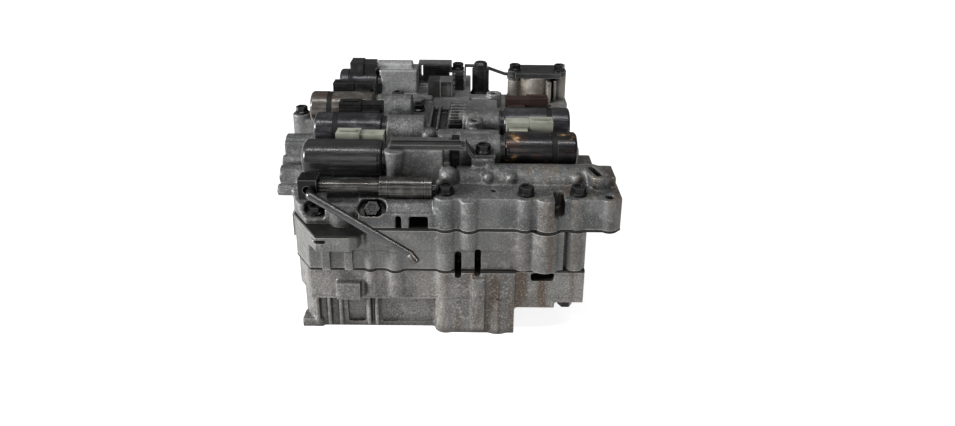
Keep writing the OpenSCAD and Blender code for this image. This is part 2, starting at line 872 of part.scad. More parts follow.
// Sleeve of one solenoid with its metering grooves
module sleeve(s) {
    r = sleeve_r;
    length = sleeve_l;
    facing(s[0], s[1], s[2], zs + s[3])
        rotate([90, 0, -90])
            rotate_extrude()
                polygon([
                    [0, 0], [r + 3.2, 0], [r + 3.2, 3.2], [r, 3.2],
                    [r, 6], [r - 1.9, 6], [r - 1.9, 8.2], [r, 8.2],
                    [r, 12], [r - 2.4, 12.6], [r - 2.4, 15.4], [r, 16],
                    [r, 18], [r - 1.9, 18], [r - 1.9, 20.2], [r, 20.2],
                    [r, length], [r - 1, length + 1], [0, length + 1]]);
}

// Socket beside one can: root half at the inner end, open half outwards
socket_start = 2;
socket_wall = 1.7;
socket_open = 13;
pin_reach = 4;

module socket(s) {
    inner = socket_start;
    length = s[6][0];
    half = length * 0.5;
    w = s[6][2] / 2;
    h = s[6][1] / 2;
    place = s[5];
    astride = abs(place[0]) < w;
    floor_z = astride ? can_r - place[1] + 1.8 : h - socket_h + socket_wall + 0.5;
    facing(s[0], s[1], s[2], zs + s[3])
        translate([0, s[0] * place[0], place[1]])
            difference() {
                union() {
                    block(inner, inner + half + 1, -w + 0.8, w - 0.8, -h, h - 1);
                    block(inner + half, inner + length, -w, w, -h + 0.5, h);
                    // Foot that meets the can, and the latch
                    if (!astride) {
                        block(inner + 2, inner + half - 2, s[0] > 0 ? -place[0] + 4 : -w + 2,
                            s[0] > 0 ? w - 2 : place[0] - 4, -place[1] + 3, h - 5.6);
                        block(inner + half + 3, inner + length - 3, -2, 2, h - 1, h + 1);
                    }
                }
                block(inner + length - socket_open, inner + length + e, -w + socket_wall,
                    w - socket_wall, floor_z, h - socket_wall);
                bar(-20, 120, -s[0] * place[0], -place[1], can_r + 0.1);
            }
}

// Terminals of the sockets
module socket_pins() {
    color("#b7a05a")
    for (s = solenoids)
        facing(s[0], s[1], s[2], zs + s[3])
            translate([socket_start + s[6][0] - socket_open, s[0] * s[5][0],
                s[5][1] + (s[6][1] - socket_h) / 2])
                for (y = [-2, 2])
                    block(0, pin_reach, y - 0.4, y + 0.4, -0.6, 1);
}

module left_can_1() { color("#3b3b3d") can(solenoids[0]); }
module left_can_2() { color("#3b3b3d") can(solenoids[1]); }
module left_can_3() { color("#4a4745") can(solenoids[2]); }
module left_can_4() { color("#3b3b3d") can(solenoids[3]); }
module right_can_1() { color("#37373a") can(solenoids[4]); }
module right_can_2() { color("#37373a") can(solenoids[5]); }

module sleeves() {
    color("#a9aaac")
    for (s = solenoids)
        sleeve(s);
}

module sleeve_seals() {
    color("#151515")
    for (s = solenoids)
        facing(s[0], s[1], s[2], zs + s[3])
            for (x = [7.1, 19.1])
                rotate([90, 0, -90])
                    translate([0, 0, x])
                        rotate_extrude()
                            translate([sleeve_r - 0.85, 0])
                                circle(r = 0.95, $fn = 24);
}

module left_socket_1() { color("#8d8d80") socket(solenoids[0]); }
module left_socket_2() { color("#1a1a1b") socket(solenoids[1]); }
module left_socket_3() { color("#1d1d1e") socket(solenoids[2]); }
module left_socket_4() { color("#2a2a2b") socket(solenoids[3]); }
module right_socket_1() { color("#8d8d80") socket(solenoids[4]); }
module right_socket_2() { color("#33221f") socket(solenoids[5]); }

// Two on and off solenoids at the rear
module rear_coil() {
    color("#242427")
    block(-29, -1, ry - 46.5, ry - 26, zd + 6, yoke_z);
}

module rear_yoke() {
    color("#9c9d9e")
    union() {
        block(-34, 1.5, ry - 46, ry - 26, zd + 4, zd + 6);
        block(-34, 1.5, ry - 43, ry - 29, yoke_z, yoke_z + tab_t);
        block(-0.9, 1.5, ry - 43, ry - 29, rear_tab_z, yoke_z + 1);
        // Tab under the bolt, lower than the top of the yoke
        difference() {
            block(-0.9, pillar_x - 0.3, ry - 43, ry - 29, rear_tab_z, rear_tab_z + tab_t);
            post(rear_bolt[0], rear_bolt[1], rear_tab_z - e, rear_tab_z + 8, hole_r);
        }
        block(-34, -31.5, ry - 43, ry - 29, zd + 5, yoke_z + 1);
        post(-15, ry - 35, zd - 5, zd + 5, 7);
    }
}

module front_coil() {
    color("#28282a")
    block(-21, -9, ry - 83, ry - 64, zd + 0.5, zd + 18);
}

module front_yoke() {
    color("#9c9d9e")
    union() {
        block(-9, 4, ry - 81, ry - 65, zd + 0.5, zd + 18);
        block(-9, -7.8, ry - 83.6, ry - 80, zd + 0.5, zd + 18);
        block(2.8, 4, ry - 83.6, ry - 80, zd + 0.5, zd + 18);
        block(-9, 4, ry - 83.6, ry - 80, zd + 16.8, zd + 18);
        post(-3, ry - 73, zd - 8, zd + 1, 6);
    }
}

// Relief valve standing at the rear, with its narrower cap
relief_r = 9.2;
module relief_valve() {
    color("#2c2c2f")
    translate([post_x, post_y, 0])
        rotate_extrude()
            polygon([
                [0, zw - 5], [6, zw - 5], [6, zw], [11.5, zw], [11.5, zw + 3], [relief_r, zw + 8],
                [relief_r, post_top - 7.5], [7.3, post_top - 6.5], [7.3, post_top - 2],
                [5.8, post_top], [0, post_top]]);
}

module accumulator_body() {
    color("#8f8d88")
    difference() {
        union() {
            post(accum_x, accum_y, accum_z, cover_z, accum_r);
            block(accum_bolt_x[0] - 4, accum_bolt_x[1] + 5, accum_bolt_y - 6, accum_bolt_y + 20,
                accum_z, cover_z);
            for (x = accum_bolt_x)
                post(x, accum_bolt_y, accum_z, cover_z, 7.5);
            block(104, 108, accum_y - 24, accum_y, accum_z, cover_z - 3);
            block(111, 114, accum_y - 18, accum_y, accum_z, cover_z - 3);
        }
        post(accum_x, accum_y, accum_z + 3, cover_z + e, piston_d / 2 + valve_gap);
        // Seat of the strap beside the left bolt
        block(accum_bolt_x[0] - 12, accum_bolt_x[0], accum_bolt_y - 12, accum_bolt_y + 24,
            ring_z, cover_z + e);
        post(accum_bolt_x[0], accum_bolt_y, ring_z, cover_z + e, 8.3);
        post(accum_x - 10, accum_y, accum_z - e, accum_z + 4, 2.6);
        for (x = accum_bolt_x)
            post(x, accum_bolt_y, accum_z - e, cover_z + e, hole_r);
    }
}

module accumulator_cover() {
    color("#77787a")
    difference() {
        union() {
            block(accum_bolt_x[0], accum_bolt_x[1], accum_y - accum_r + 1, accum_y + accum_r - 3,
                cover_z, cover_z + cover_t);
            for (x = accum_bolt_x)
                post(x, accum_bolt_y, cover_z, cover_z + cover_t, 7.5);
            // Boss that presses the strap
            post(accum_bolt_x[0], accum_bolt_y, ring_z + strap_t, cover_z + 1, 7);
        }
        for (x = accum_bolt_x)
            post(x, accum_bolt_y, ring_z, cover_z + cover_t + e, hole_r);
    }
}

module accumulator_piston() {
    color("#b2b3b4")
    difference() {
        post(accum_x, accum_y, accum_z + 3.3, accum_z + 3.3 + piston_h, piston_d / 2);
        post(accum_x, accum_y, accum_z + 3.3 + 3, accum_z + 20, piston_d / 2 - 3);
        translate([accum_x, accum_y, accum_z + 3.3 + piston_h / 2 - 1])
            difference() {
                cylinder(h = 2, r = piston_d);
                translate([0, 0, -1])
                    cylinder(h = 4, r = piston_d / 2 - 1.2);
            }
    }
}

module accumulator_spring() {
    color("#6f7073")
    translate([accum_x, accum_y, accum_z + 6.3])
        spring(cover_z - accum_z - 6.4, 8.5, 2, 4);
}

module accumulator_bolts() {
    color("#202022")
    for (x = accum_bolt_x)
        translate([x, accum_bolt_y, cover_z + cover_t])
            flange_bolt(cover_t + accum_h + 8, bolt_d);
}

// Steel strap from the rear solenoid's bolt to the accumulator
strap_w = 7;
strap_y = post_y + relief_r + 0.6;
strap_lift = zd + 17;
foot_x = pillar_x + 0.2;
module strap() {
    color("#8f9092")
    difference() {
        union() {
            // Foot against the side of the rear solenoid's pillar, then the run behind the post
            block(foot_x, foot_x + strap_t, strap_y - 8, strap_y, strap_lift - 8, strap_lift + strap_t);
            block(foot_x, 35, strap_y, strap_y + strap_w, strap_lift, strap_lift + strap_t);
            block(foot_x, foot_x + strap_t, strap_y - 2, strap_y + strap_w, strap_lift - 8,
                strap_lift + strap_t);
            translate([0, strap_y + strap_w, 0])
                rotate([90, 0, 0])
                    linear_extrude(height = strap_w)
                        polygon([[34, strap_lift], [35, strap_lift + strap_t],
                            [60, ring_z + strap_t], [66, ring_z + strap_t], [66, ring_z], [59.4, ring_z]]);
            block(62, accum_bolt_x[0] - 0.3, accum_bolt_y, strap_y + strap_w, ring_z, ring_z + strap_t);
            post(accum_bolt_x[0], accum_bolt_y, ring_z, ring_z + strap_t, 7.5);
        }
        post(accum_bolt_x[0], accum_bolt_y, ring_z - e, ring_z + strap_t + e, hole_r);
    }
}

// Plate that locks the front solenoids
module lock_plate() {
    color("#77787b")
    difference() {
        union() {
            block(-37, 21, fy + 31, fy + 43, lock_z, lock_z + tab_t);
            translate([0, fy + 49, 0])
                rotate([90, 0, 0])
                    linear_extrude(height = 12)
                        polygon([[20, lock_z], [20.6, lock_z + tab_t], [27.6, tab_z + tab_t],
                            [30, tab_z + tab_t], [30, tab_z], [26.2, tab_z]]);
            block(28, 44, fy + 37.5, fy + 51, tab_z, tab_z + tab_t);
            // Lips along both edges
            block(-37, 18, fy + 41.4, fy + 43, lock_z, lock_z + tab_t + 1.2);
            block(-37, 18, fy + 31, fy + 32.6, lock_z, lock_z + tab_t + 1.2);
        }
        post(35, fy + 45, tab_z - e, tab_z + 8, hole_r);
    }
}

// Manual valve: collar, stem, land and guided neck
collar_x = [-102, -88];
collar_h = 16;
pivot_x = -95;
module manual_valve() {
    color("#8c8d90")
    difference() {
        union() {
            block(collar_x[0], collar_x[1], manual_y - 8, manual_y + 7,
                manual_z - collar_h / 2, manual_z + collar_h / 2);
            bar(collar_x[1] - 1, -41, manual_y, manual_z, stem_d / 2);
            bar(-42, -3.5, manual_y, manual_z, manual_r);
            bar(-4, -0.6, manual_y, manual_z, 3.4);
        }
        translate([pivot_x, manual_y, manual_z])
            rotate([90, 0, 0])
                cylinder(h = 40, r = rod_r + 0.25, center = true);
        for (x = [-36, -10])
            difference() {
                bar(x, x + 1.2, manual_y, manual_z, manual_r + 1);
                bar(x - 1, x + 3, manual_y, manual_z, manual_r - 0.6);
            }
    }
}

// Link rod hung from the manual valve's collar, its far end hooked forward
rod_start = [pivot_x, fy - 4, manual_z];
rod_end = [-14, fy - 20, 82];
module rod_between(a, b) {
    v = [b[0] - a[0], b[1] - a[1], b[2] - a[2]];
    translate(a)
        rotate([0, acos(v[2] / norm(v)), atan2(v[1], v[0])])
            cylinder(h = norm(v), r = rod_r);
}

module link_rod() {
    color("#6d6e70")
    union() {
        rod_between([pivot_x, manual_y + 8.5, manual_z], rod_start);
        translate(rod_start)
            sphere(r = rod_r * 1.03);
        rod_between(rod_start, rod_end);
        translate(rod_end)
            sphere(r = rod_r * 1.03);
        rod_between(rod_end, [rod_end[0] + 1.5, rod_end[1] - 7, rod_end[2] - 5]);
        // Head behind the collar
        translate([pivot_x, manual_y + 7.4, manual_z])
            rotate([-90, 0, 0])
                cylinder(h = 2.4, r = rod_r + 1.6);
    }
}

// One spool valve with three lands
module spool(s) {
    r = spool_r;
    length = spool_l;
    facing(s[0], s[1] - s[0] * plug_l, s[2], s[3])
        rotate([90, 0, -90])
            rotate_extrude()
                polygon([
                    [0, 0.2], [r - 1, 0.2], [r, 1], [r, length * 0.26], [r - 3, length * 0.26],
                    [r - 3, length * 0.42], [r, length * 0.42], [r, length * 0.6],
                    [r - 3, length * 0.6], [r - 3, length * 0.78], [r, length * 0.78],
                    [r, length - 0.8], [r - 0.8, length], [0, length]]);
}

module spool_spring(s) {
    facing(s[0], s[1] - s[0] * (plug_l + spool_l), s[2], s[3])
        rotate([0, -90, 0])
            spring(spring_l - 0.1, spring_r, spring_wire, 4);
}

module pressure_spool() { color("#b4b5b6") spool(spools[0]); }
module lockup_spool() { color("#b4b5b6") spool(spools[1]); }
module clutch_spool() { color("#b4b5b6") spool(spools[2]); }
module shift_spool() { color("#b4b5b6") spool(spools[3]); }

module pressure_spring() { color("#6f7073") spool_spring(spools[0]); }
module lockup_spring() { color("#6f7073") spool_spring(spools[1]); }
module clutch_spring() { color("#6f7073") spool_spring(spools[2]); }
module shift_spring() { color("#6f7073") spool_spring(spools[3]); }

// Plugs that close the spool bores, and the keys that hold them
module bore_plugs() {
    color("#9b9c9e")
    for (s = spools)
        difference() {
            facing(s[0], s[1], s[2], s[3])
                bar(-plug_l, -0.5, 0, 0, spool_bore_r - 0.06);
            facing(s[0], s[1], s[2], s[3])
                block(-plug_l + 1.9, -plug_l + 2.1 + key_t, -5.1, 5.1, -20, 3.1);
        }
}

module plug_keys() {
    color("#55565a")
    for (s = spools)
        facing(s[0], s[1], s[2], s[3])
            block(-plug_l + 2.05, -plug_l + 1.95 + key_t, -4.9, 4.9, -spool_bore_r - 2.9, 3);
}

// Dark clamp blocks and comb along the middle
module centre_clamps() {
    color("#1e1e20")
    union() {
        difference() {
            block(5.1, 15, fy + 123, fy + 136, zd, zd + 11);
            block(9, 20, fy + 128, fy + 131, zd + 7, zd + 12);
        }
        block(9, 15.5, fy + 76, fy + 81.8, zd + 8, zd + 18);
    }
}

module centre_comb() {
    color("#202022")
    union() {
        block(6, 15, ry - 57, ry - 48.5, zd, zd + 4);
        block(7, 14, ry - 54, ry - 48.5, zd, zd + 17);
        for (i = [0:3])
            block(6, 15, ry - 57, ry - 51, zd + 5 + i * 3.4, zd + 7 + i * 3.4);
    }
}

lower_body();
lower_gasket_under();
lower_plate();
lower_gasket_over();
middle_body();
upper_gasket_under();
upper_plate();
upper_gasket_over();
upper_body();
locating_pins();
check_balls();
stack_bolts();
lower_bolts();
deck_bolts();
left_can_1();
left_can_2();
left_can_3();
left_can_4();
right_can_1();
right_can_2();
sleeves();
sleeve_seals();
left_socket_1();
left_socket_2();
left_socket_3();
left_socket_4();
right_socket_1();
right_socket_2();
socket_pins();
rear_coil();
rear_yoke();
front_coil();
front_yoke();
relief_valve();
accumulator_body();
accumulator_cover();
accumulator_piston();
accumulator_spring();
accumulator_bolts();
strap();
lock_plate();
manual_valve();
link_rod();
pressure_spool();
lockup_spool();
clutch_spool();
shift_spool();
pressure_spring();
lockup_spring();
clutch_spring();
shift_spring();
bore_plugs();
plug_keys();
centre_clamps();
centre_comb();
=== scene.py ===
# %% [markdown]
# # Valve body of an automatic transmission
# The valve body is a stack of three aluminium castings with dark separator plates between them,
# solenoids along both sides of the top, and a manual valve with its link rod on the front.
# The CAD solids give every size. This script gives them their surfaces: fillets and grain on
# the castings, rounded cans, worn steel, moulded plastic, oil and stains.

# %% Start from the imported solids
import json
import math

import bmesh
import bpy
from mathutils import Matrix, Vector


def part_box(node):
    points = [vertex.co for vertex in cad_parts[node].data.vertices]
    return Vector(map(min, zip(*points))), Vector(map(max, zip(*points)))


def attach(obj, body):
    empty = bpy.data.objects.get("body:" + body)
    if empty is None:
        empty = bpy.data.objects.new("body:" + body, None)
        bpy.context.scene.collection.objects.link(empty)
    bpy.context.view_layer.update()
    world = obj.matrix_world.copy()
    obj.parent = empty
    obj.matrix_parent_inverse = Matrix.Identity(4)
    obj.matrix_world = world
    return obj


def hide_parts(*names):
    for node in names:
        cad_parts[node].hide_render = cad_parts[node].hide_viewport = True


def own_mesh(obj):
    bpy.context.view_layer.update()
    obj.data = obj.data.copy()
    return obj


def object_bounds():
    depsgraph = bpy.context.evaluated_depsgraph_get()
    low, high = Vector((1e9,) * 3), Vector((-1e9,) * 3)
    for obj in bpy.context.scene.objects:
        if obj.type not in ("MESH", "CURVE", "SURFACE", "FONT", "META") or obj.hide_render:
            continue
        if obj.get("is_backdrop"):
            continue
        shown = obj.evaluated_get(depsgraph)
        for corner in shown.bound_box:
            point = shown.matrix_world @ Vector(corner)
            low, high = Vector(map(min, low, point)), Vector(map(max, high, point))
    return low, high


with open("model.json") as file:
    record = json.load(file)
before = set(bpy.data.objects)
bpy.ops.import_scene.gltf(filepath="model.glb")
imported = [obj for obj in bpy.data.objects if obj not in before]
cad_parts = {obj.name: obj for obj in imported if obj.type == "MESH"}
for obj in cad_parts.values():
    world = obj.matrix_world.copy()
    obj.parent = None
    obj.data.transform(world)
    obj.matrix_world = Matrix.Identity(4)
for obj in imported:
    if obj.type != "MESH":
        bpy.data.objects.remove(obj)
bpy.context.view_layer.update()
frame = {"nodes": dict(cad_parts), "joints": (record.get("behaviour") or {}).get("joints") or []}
cad = frame["nodes"]
MM = 0.001

# %% [markdown]
# ## Camera
# The photograph looks at the front from a little above, with a wide lens close by: the front
# is large and the rear is small. A camera could be set by eye, but then the far end would not
# fit, so the lens and the place were worked out from the bolts, taken as M6, and the castings'
# corners. The middle of the lens is above the middle of the picture, so the lens is shifted,
# and the camera was held a little askew.

# %% Camera
IMAGE_W, IMAGE_H = 955, 426
FOCAL_PX = 720
CENTRE_ROW = 107
CAMERA_AT = Vector((30, -640, 355)) * MM
TILT_DOWN = math.radians(19.5)
ROLL = math.radians(0.6)

lens = bpy.data.cameras.new("photo_lens")
lens.sensor_width = 36
lens.lens = lens.sensor_width * FOCAL_PX / IMAGE_W
lens.shift_y = -(IMAGE_H / 2 - CENTRE_ROW) / IMAGE_W
camera = bpy.data.objects.new("camera", lens)
camera.matrix_world = (Matrix.Translation(CAMERA_AT)
                       @ Matrix.Rotation(math.pi / 2 - TILT_DOWN, 4, "X")
                       @ Matrix.Rotation(ROLL, 4, "Z"))
bpy.context.scene.collection.objects.link(camera)
bpy.context.scene.camera = camera
print("lens", round(lens.lens, 2), "mm, shift", round(lens.shift_y, 3))

# %% [markdown]
# ## Colours and nodes
# Colours are written as on a paint card, in sRGB, and turned to the linear values that the
# shader counts in. A material could be wired by hand in the shader editor. In a script, one
# function that adds any node with its options, values and links lets each material below read
# as a recipe of layers.

# %% Colours and nodes
def linear(hex_colour):
    parts = [int(hex_colour[i:i + 2], 16) / 255 for i in (1, 3, 5)]
    lin = [p / 12.92 if p <= 0.04045 else ((p + 0.055) / 1.055) ** 2.4 for p in parts]
    return (*lin, 1.0)


def add(tree, kind, inputs=None, out=0, **options):
    """Adds one node. An input is a number, a hex colour or another node's output."""
    made = tree.nodes.new("ShaderNode" + kind)
    for key, value in options.items():
        setattr(made, key, value)
    for key, value in (inputs or {}).items():
        if isinstance(value, bpy.types.NodeSocket):
            tree.links.new(value, made.inputs[key])
        else:
            made.inputs[key].default_value = linear(value) if isinstance(value, str) else value
    return made.outputs[out]


# MapRange inputs: 0 is the value, 1 and 2 where it starts and ends, 3 and 4 what comes out
RAMP = {"interpolation_type": "SMOOTHSTEP"}
# Mix inputs for colours: 0 is the share of the second one, 6 and 7 are the two
COLOUR = {"out": 2, "data_type": "RGBA"}
print("mid grey in linear light:", round(linear("#808080")[0], 3))

# %% [markdown]
# Every material starts and ends alike: sockets that stay constant are set at once, the layers
# are built from the place on the piece, and a height pattern raises the surface. Patterns are
# sized in millimetres of the real surface.

# %% Start and finish of a material
def start_material(name, **sockets):
    """A new material with its shader's constant sockets set, and the place on the piece."""
    material = bpy.data.materials.new(name)
    material.use_nodes = True
    tree = material.node_tree
    shader = tree.nodes["Principled BSDF"]
    for key, value in sockets.items():
        shader.inputs[key.replace("_", " ")].default_value = value
    return material, tree, shader, add(tree, "TexCoord", out="Object")


def finish_material(tree, shader, colour, roughness, height, depth, strength=1.0):
    """Links colour and roughness, and raises the surface by a height pattern of a depth in mm."""
    tree.links.new(colour, shader.inputs["Base Color"])
    tree.links.new(roughness, shader.inputs["Roughness"])
    bump = add(tree, "Bump", {"Strength": strength, "Distance": depth * MM, "Height": height})
    tree.links.new(bump, shader.inputs["Normal"])


def per_mm(size):
    """Scale of a pattern whose features are this many millimetres wide."""
    return 1 / (size * MM)


print("scale of a 1.3 mm grain:", round(per_mm(1.3)))

# %% [markdown]
# ## Wear, grime, painted highlight and painted shade
# Handling rubs edges pale, and oil with dirt gathers in corners. The same masks also paint a
# highlight along edges and shade into corners. Both depend on the shape alone. The mesh's own
# curvature would show its triangles, so short feeler rays are used: looking inwards, an edge has
# another surface close by; looking outwards, a corner has.

# %% Edge wear and highlight, corner grime and shade
FEELERS = 6
# Share of the feelers that meet nothing, where a pale edge (wear and painted highlight) or a
# dark corner (grime and painted shade) begins and where it is full
EDGE_BEGINS, EDGE_FULL = 0.85, 0.45
CORNER_BEGINS, CORNER_FULL = 0.9, 0.3


def edge_wear_and_highlight(tree, colour, pale, reach, share):
    """Edges rubbed pale by wear and given a painted highlight: looking inwards, another surface
    lies within a reach in mm.
    """
    inner = add(tree, "AmbientOcclusion", {"Distance": reach * MM}, out="AO",
                samples=FEELERS, inside=True, only_local=True)
    # Pale edges: wear, and a painted highlight
    rubbed_and_highlit = add(tree, "MapRange", {0: inner, 1: EDGE_BEGINS, 2: EDGE_FULL, 4: share}, **RAMP)
    return add(tree, "Mix", {0: rubbed_and_highlit, 6: colour, 7: pale}, **COLOUR)


def corner_dirt_and_shade(tree, colour, dark, reach, share):
    """Oil, dirt and painted shade where two surfaces come close together, within a reach in mm.
    """
    outer = add(tree, "AmbientOcclusion", {"Distance": reach * MM}, out="AO", samples=FEELERS)
    # Corners are darkened: oil and dirt, and painted shade
    dirt_and_shade_share = add(tree, "MapRange", {0: outer, 1: CORNER_BEGINS, 2: CORNER_FULL, 4: share}, **RAMP)
    return add(tree, "Mix", {0: dirt_and_shade_share, 6: colour, 7: dark}, **COLOUR)


print("feelers at each point:", FEELERS)

# %% [markdown]
# ## Cast aluminium
# The castings are an aluminium-silicon alloy, shot-blasted after casting. The eye sees a matt,
# sparkling grey grain, whose glints and pits are painted here as painted highlight and painted
# shade; edges paler where they were knocked and from a painted highlight; corners nearly black
# where oil and dirt sit and from painted shade; and brown where oil ran down and dried to
# varnish. A photograph could give all this in one go, but layers of noise work from every side
# and at every size.
#
# Two of its layers come first: the runs of varnish, whose pattern is drawn out along Z because
# oil ran downwards, and the seam where the halves of the mould met.

# %% Runs of varnish and the mould's seam
RUN_W, RUN_STRETCH = 9, 0.12
RUN_FADE = 45
SEAM_HALF, SEAM_CORE = 0.7, 0.2


def varnish_runs(tree, place, colour, varnish, share, start_x):
    """Brown runs that begin at a place along X in mm and grow stronger to the right."""
    run = add(tree, "Mapping", {"Vector": place, "Scale": (1, 1, RUN_STRETCH)})
    run = add(tree, "TexNoise", {"Vector": run, "Scale": per_mm(RUN_W), "Detail": 2.0})
    run = add(tree, "MapRange", {0: run, 1: 0.46, 2: 0.68, 4: share}, **RAMP)
    east = add(tree, "SeparateXYZ", {0: place}, out="X")
    side = add(tree, "MapRange", {0: east, 1: start_x * MM, 2: (start_x + RUN_FADE) * MM}, **RAMP)
    run = add(tree, "Math", {0: run, 1: side}, operation="MULTIPLY")
    return add(tree, "Mix", {0: run, 6: colour, 7: varnish}, **COLOUR)


def mould_seam(tree, place, colour, height):
    """A thin dark line around the casting at a height in mm."""
    up = add(tree, "SeparateXYZ", {0: place}, out="Z")
    away = add(tree, "Math", {0: up, 1: -height * MM}, operation="ADD")
    away = add(tree, "Math", {0: away}, operation="ABSOLUTE")
    line = add(tree, "MapRange", {0: away, 1: SEAM_HALF * MM, 2: SEAM_CORE * MM, 4: 0.45}, **RAMP)
    return add(tree, "Mix", {0: line, 6: colour, 7: "#3a3735"}, **COLOUR)


print("runs", RUN_W, "mm wide, seam", 2 * SEAM_HALF, "mm")

# %% [markdown]
# The blasted grain is about half a millimetre wide in life, less than a pixel. It is drawn at
# 1.3 mm so that it shows: a painted glint where a facet of silicon would catch the light, and
# painted shade in the pits between.

# %% Oily, shaded tops, a paler rear, and the grain's painted glints and pits
GRAIN_W = 1.3
PALING_FROM, PALING_TO = 10, 120


def shaded_oily_tops_and_paled_rear(tree, place, colour, oil_and_shade_tone, rear_paling):
    """Faces turned up are painted darker: partly an oil film, partly painted shade. The rear is
    painted paler by a share, as painted light.
    """
    upward = add(tree, "SeparateXYZ", {0: add(tree, "NewGeometry", out="Normal")}, out="Z")
    # Tops are darkened: oil, and painted shade
    oil_and_shade_on_tops = add(tree, "MapRange", {0: upward, 1: 0.35, 2: 0.9, 4: 0.7}, **RAMP)
    colour = add(tree, "Mix", {0: oil_and_shade_on_tops, 6: colour, 7: oil_and_shade_tone}, **COLOUR)
    north = add(tree, "SeparateXYZ", {0: place}, out="Y")
    # The rear is paled: painted light
    rear = add(tree, "MapRange", {0: north, 1: PALING_FROM * MM, 2: PALING_TO * MM, 4: rear_paling}, **RAMP)
    return add(tree, "Mix", {0: rear, 6: colour, 7: "#a4a5a5"}, **COLOUR)


def grain_glints_and_pit_shade(tree, colour, grain, share):
    """Painted glints and painted shade in the pits of the shot-blasted skin."""
    # Bright specks are painted glints, dark specks painted shade in pits
    painted_glint = add(tree, "MapRange", {0: grain, 1: 0.52, 2: 0.72, 4: share}, **RAMP)
    colour = add(tree, "Mix", {0: painted_glint, 6: colour, 7: "#bbb8b2"}, **COLOUR)
    pit_shade = add(tree, "MapRange", {0: grain, 1: 0.5, 2: 0.3, 4: 1.4 * share}, **RAMP)
    return add(tree, "Mix", {0: pit_shade, 6: colour, 7: "#2c2a28"}, **COLOUR)


print("grain", GRAIN_W, "mm wide")

# %% Cast aluminium
CLOUD_W, PATCH_W = 30, 6
GRAIN_DEEP = 0.5
CAST_EDGE, CAST_CORNER = 1.3, 12


def cast_aluminium(name, clean, oil_and_shade_tone, varnish, runs, runs_from, glint_and_pit_share, seam=None, rear_paling=0.0):
    # Oxide and oil hide much of the metal, so it mirrors less than bare aluminium does
    material, tree, shader, place = start_material(name, Metallic=0.35)
    cloud = add(tree, "TexNoise", {"Vector": place, "Scale": per_mm(CLOUD_W), "Detail": 5.0})
    patch = add(tree, "TexNoise", {"Vector": place, "Scale": per_mm(PATCH_W), "Detail": 4.0})
    grain = add(tree, "TexNoise", {"Vector": place, "Scale": per_mm(GRAIN_W), "Detail": 2.0,
                                   "Roughness": 0.7})
    film = add(tree, "MapRange", {0: cloud, 1: 0.36, 2: 0.64}, **RAMP)
    colour = add(tree, "Mix", {0: film, 6: clean, 7: oil_and_shade_tone}, **COLOUR)
    colour = shaded_oily_tops_and_paled_rear(tree, place, colour, oil_and_shade_tone, rear_paling)
    bare = add(tree, "MapRange", {0: patch, 1: 0.52, 2: 0.72, 4: 0.25}, **RAMP)
    colour = add(tree, "Mix", {0: bare, 6: colour, 7: "#a5a29c"}, **COLOUR)
    colour = varnish_runs(tree, place, colour, varnish, runs, runs_from)
    if seam:
        colour = mould_seam(tree, place, colour, seam)
    colour = grain_glints_and_pit_shade(tree, colour, grain, glint_and_pit_share)
    # Pale edges are wear and a painted highlight; dark corners are grime and painted shade
    colour = edge_wear_and_highlight(tree, colour, "#bdbab4", CAST_EDGE, 0.65)
    colour = corner_dirt_and_shade(tree, colour, "#171513", CAST_CORNER, 0.9)
    sheen = add(tree, "MapRange", {0: cloud, 1: 0.3, 2: 0.7, 3: 0.56, 4: 0.36}, **RAMP)
    relief = add(tree, "Math", {0: grain, 1: patch}, operation="ADD")
    finish_material(tree, shader, colour, sheen, relief, GRAIN_DEEP)
    return material


print("clouds", CLOUD_W, "mm wide, patches", PATCH_W, "mm")

# %% The four castings' finishes
# Heights of the seams in mm above the case
LOWER_SEAM, MIDDLE_SEAM = 31.2, 71.2
# Dry and pale, with the most varnish on its right
lower_cast = cast_aluminium("lower_cast_aluminium", "#7c7a77", "#5a5957", "#4a3828",
                            runs=0.9, runs_from=-20, glint_and_pit_share=0.48, seam=LOWER_SEAM)
# Greyer and smoother
middle_cast = cast_aluminium("middle_cast_aluminium", "#6c6c6b", "#565655", "#57432f",
                             runs=0.65, runs_from=40, glint_and_pit_share=0.26, seam=MIDDLE_SEAM)
# Its tops are darkest, from oil and painted shade, and its rear is painted paler
upper_cast = cast_aluminium("upper_cast_aluminium", "#676868", "#434445", "#5a4b3a",
                            runs=0.6, runs_from=40, glint_and_pit_share=0.32, rear_paling=0.6)
# Stands apart and stayed the cleanest
accumulator_cast = cast_aluminium("accumulator_cast_aluminium", "#948f88", "#625e59", "#6b5a46",
                                  runs=0.5, runs_from=40, glint_and_pit_share=0.22)
print("cast aluminium:", [m.name for m in bpy.data.materials if m.name.endswith("aluminium")])

# %% [markdown]
# ## Steel
# The solenoid cans are deep-drawn steel with a blackened finish under a film of oil: dark from
# straight on, and pale where the light grazes them. Wear shows along the length, as silvery
# lines and clouds, and heat and water have left brown and golden patches on some; on one can the
# golden and pale patches are also a painted highlight. The bolts are black from their oxide
# bath. The valve, the rod and the strap are bare steel.
#
# Each could have its own recipe, but one with a few settings lets all the metal age alike, the
# brass of the terminals too. Where a skin of oxide covers the metal, metallic is under 1.

# %% Stained patches, some also a painted highlight, and a blackened end
PATCH_STRETCH, PATCH_EDGE = 0.55, 0.12


def stain_and_highlight_patches(tree, place, colour, patches):
    """Patches of a tint, each given as (colour, width in mm, threshold, share)."""
    for tint, size, start, share in patches:
        spot = add(tree, "Mapping", {"Vector": place, "Scale": (PATCH_STRETCH, 1, 1)})
        spot = add(tree, "TexNoise", {"Vector": spot, "Scale": per_mm(size), "Detail": 4.0})
        spot = add(tree, "MapRange", {0: spot, 1: start, 2: start + PATCH_EDGE, 4: share}, **RAMP)
        colour = add(tree, "Mix", {0: spot, 6: colour, 7: tint}, **COLOUR)
    return colour


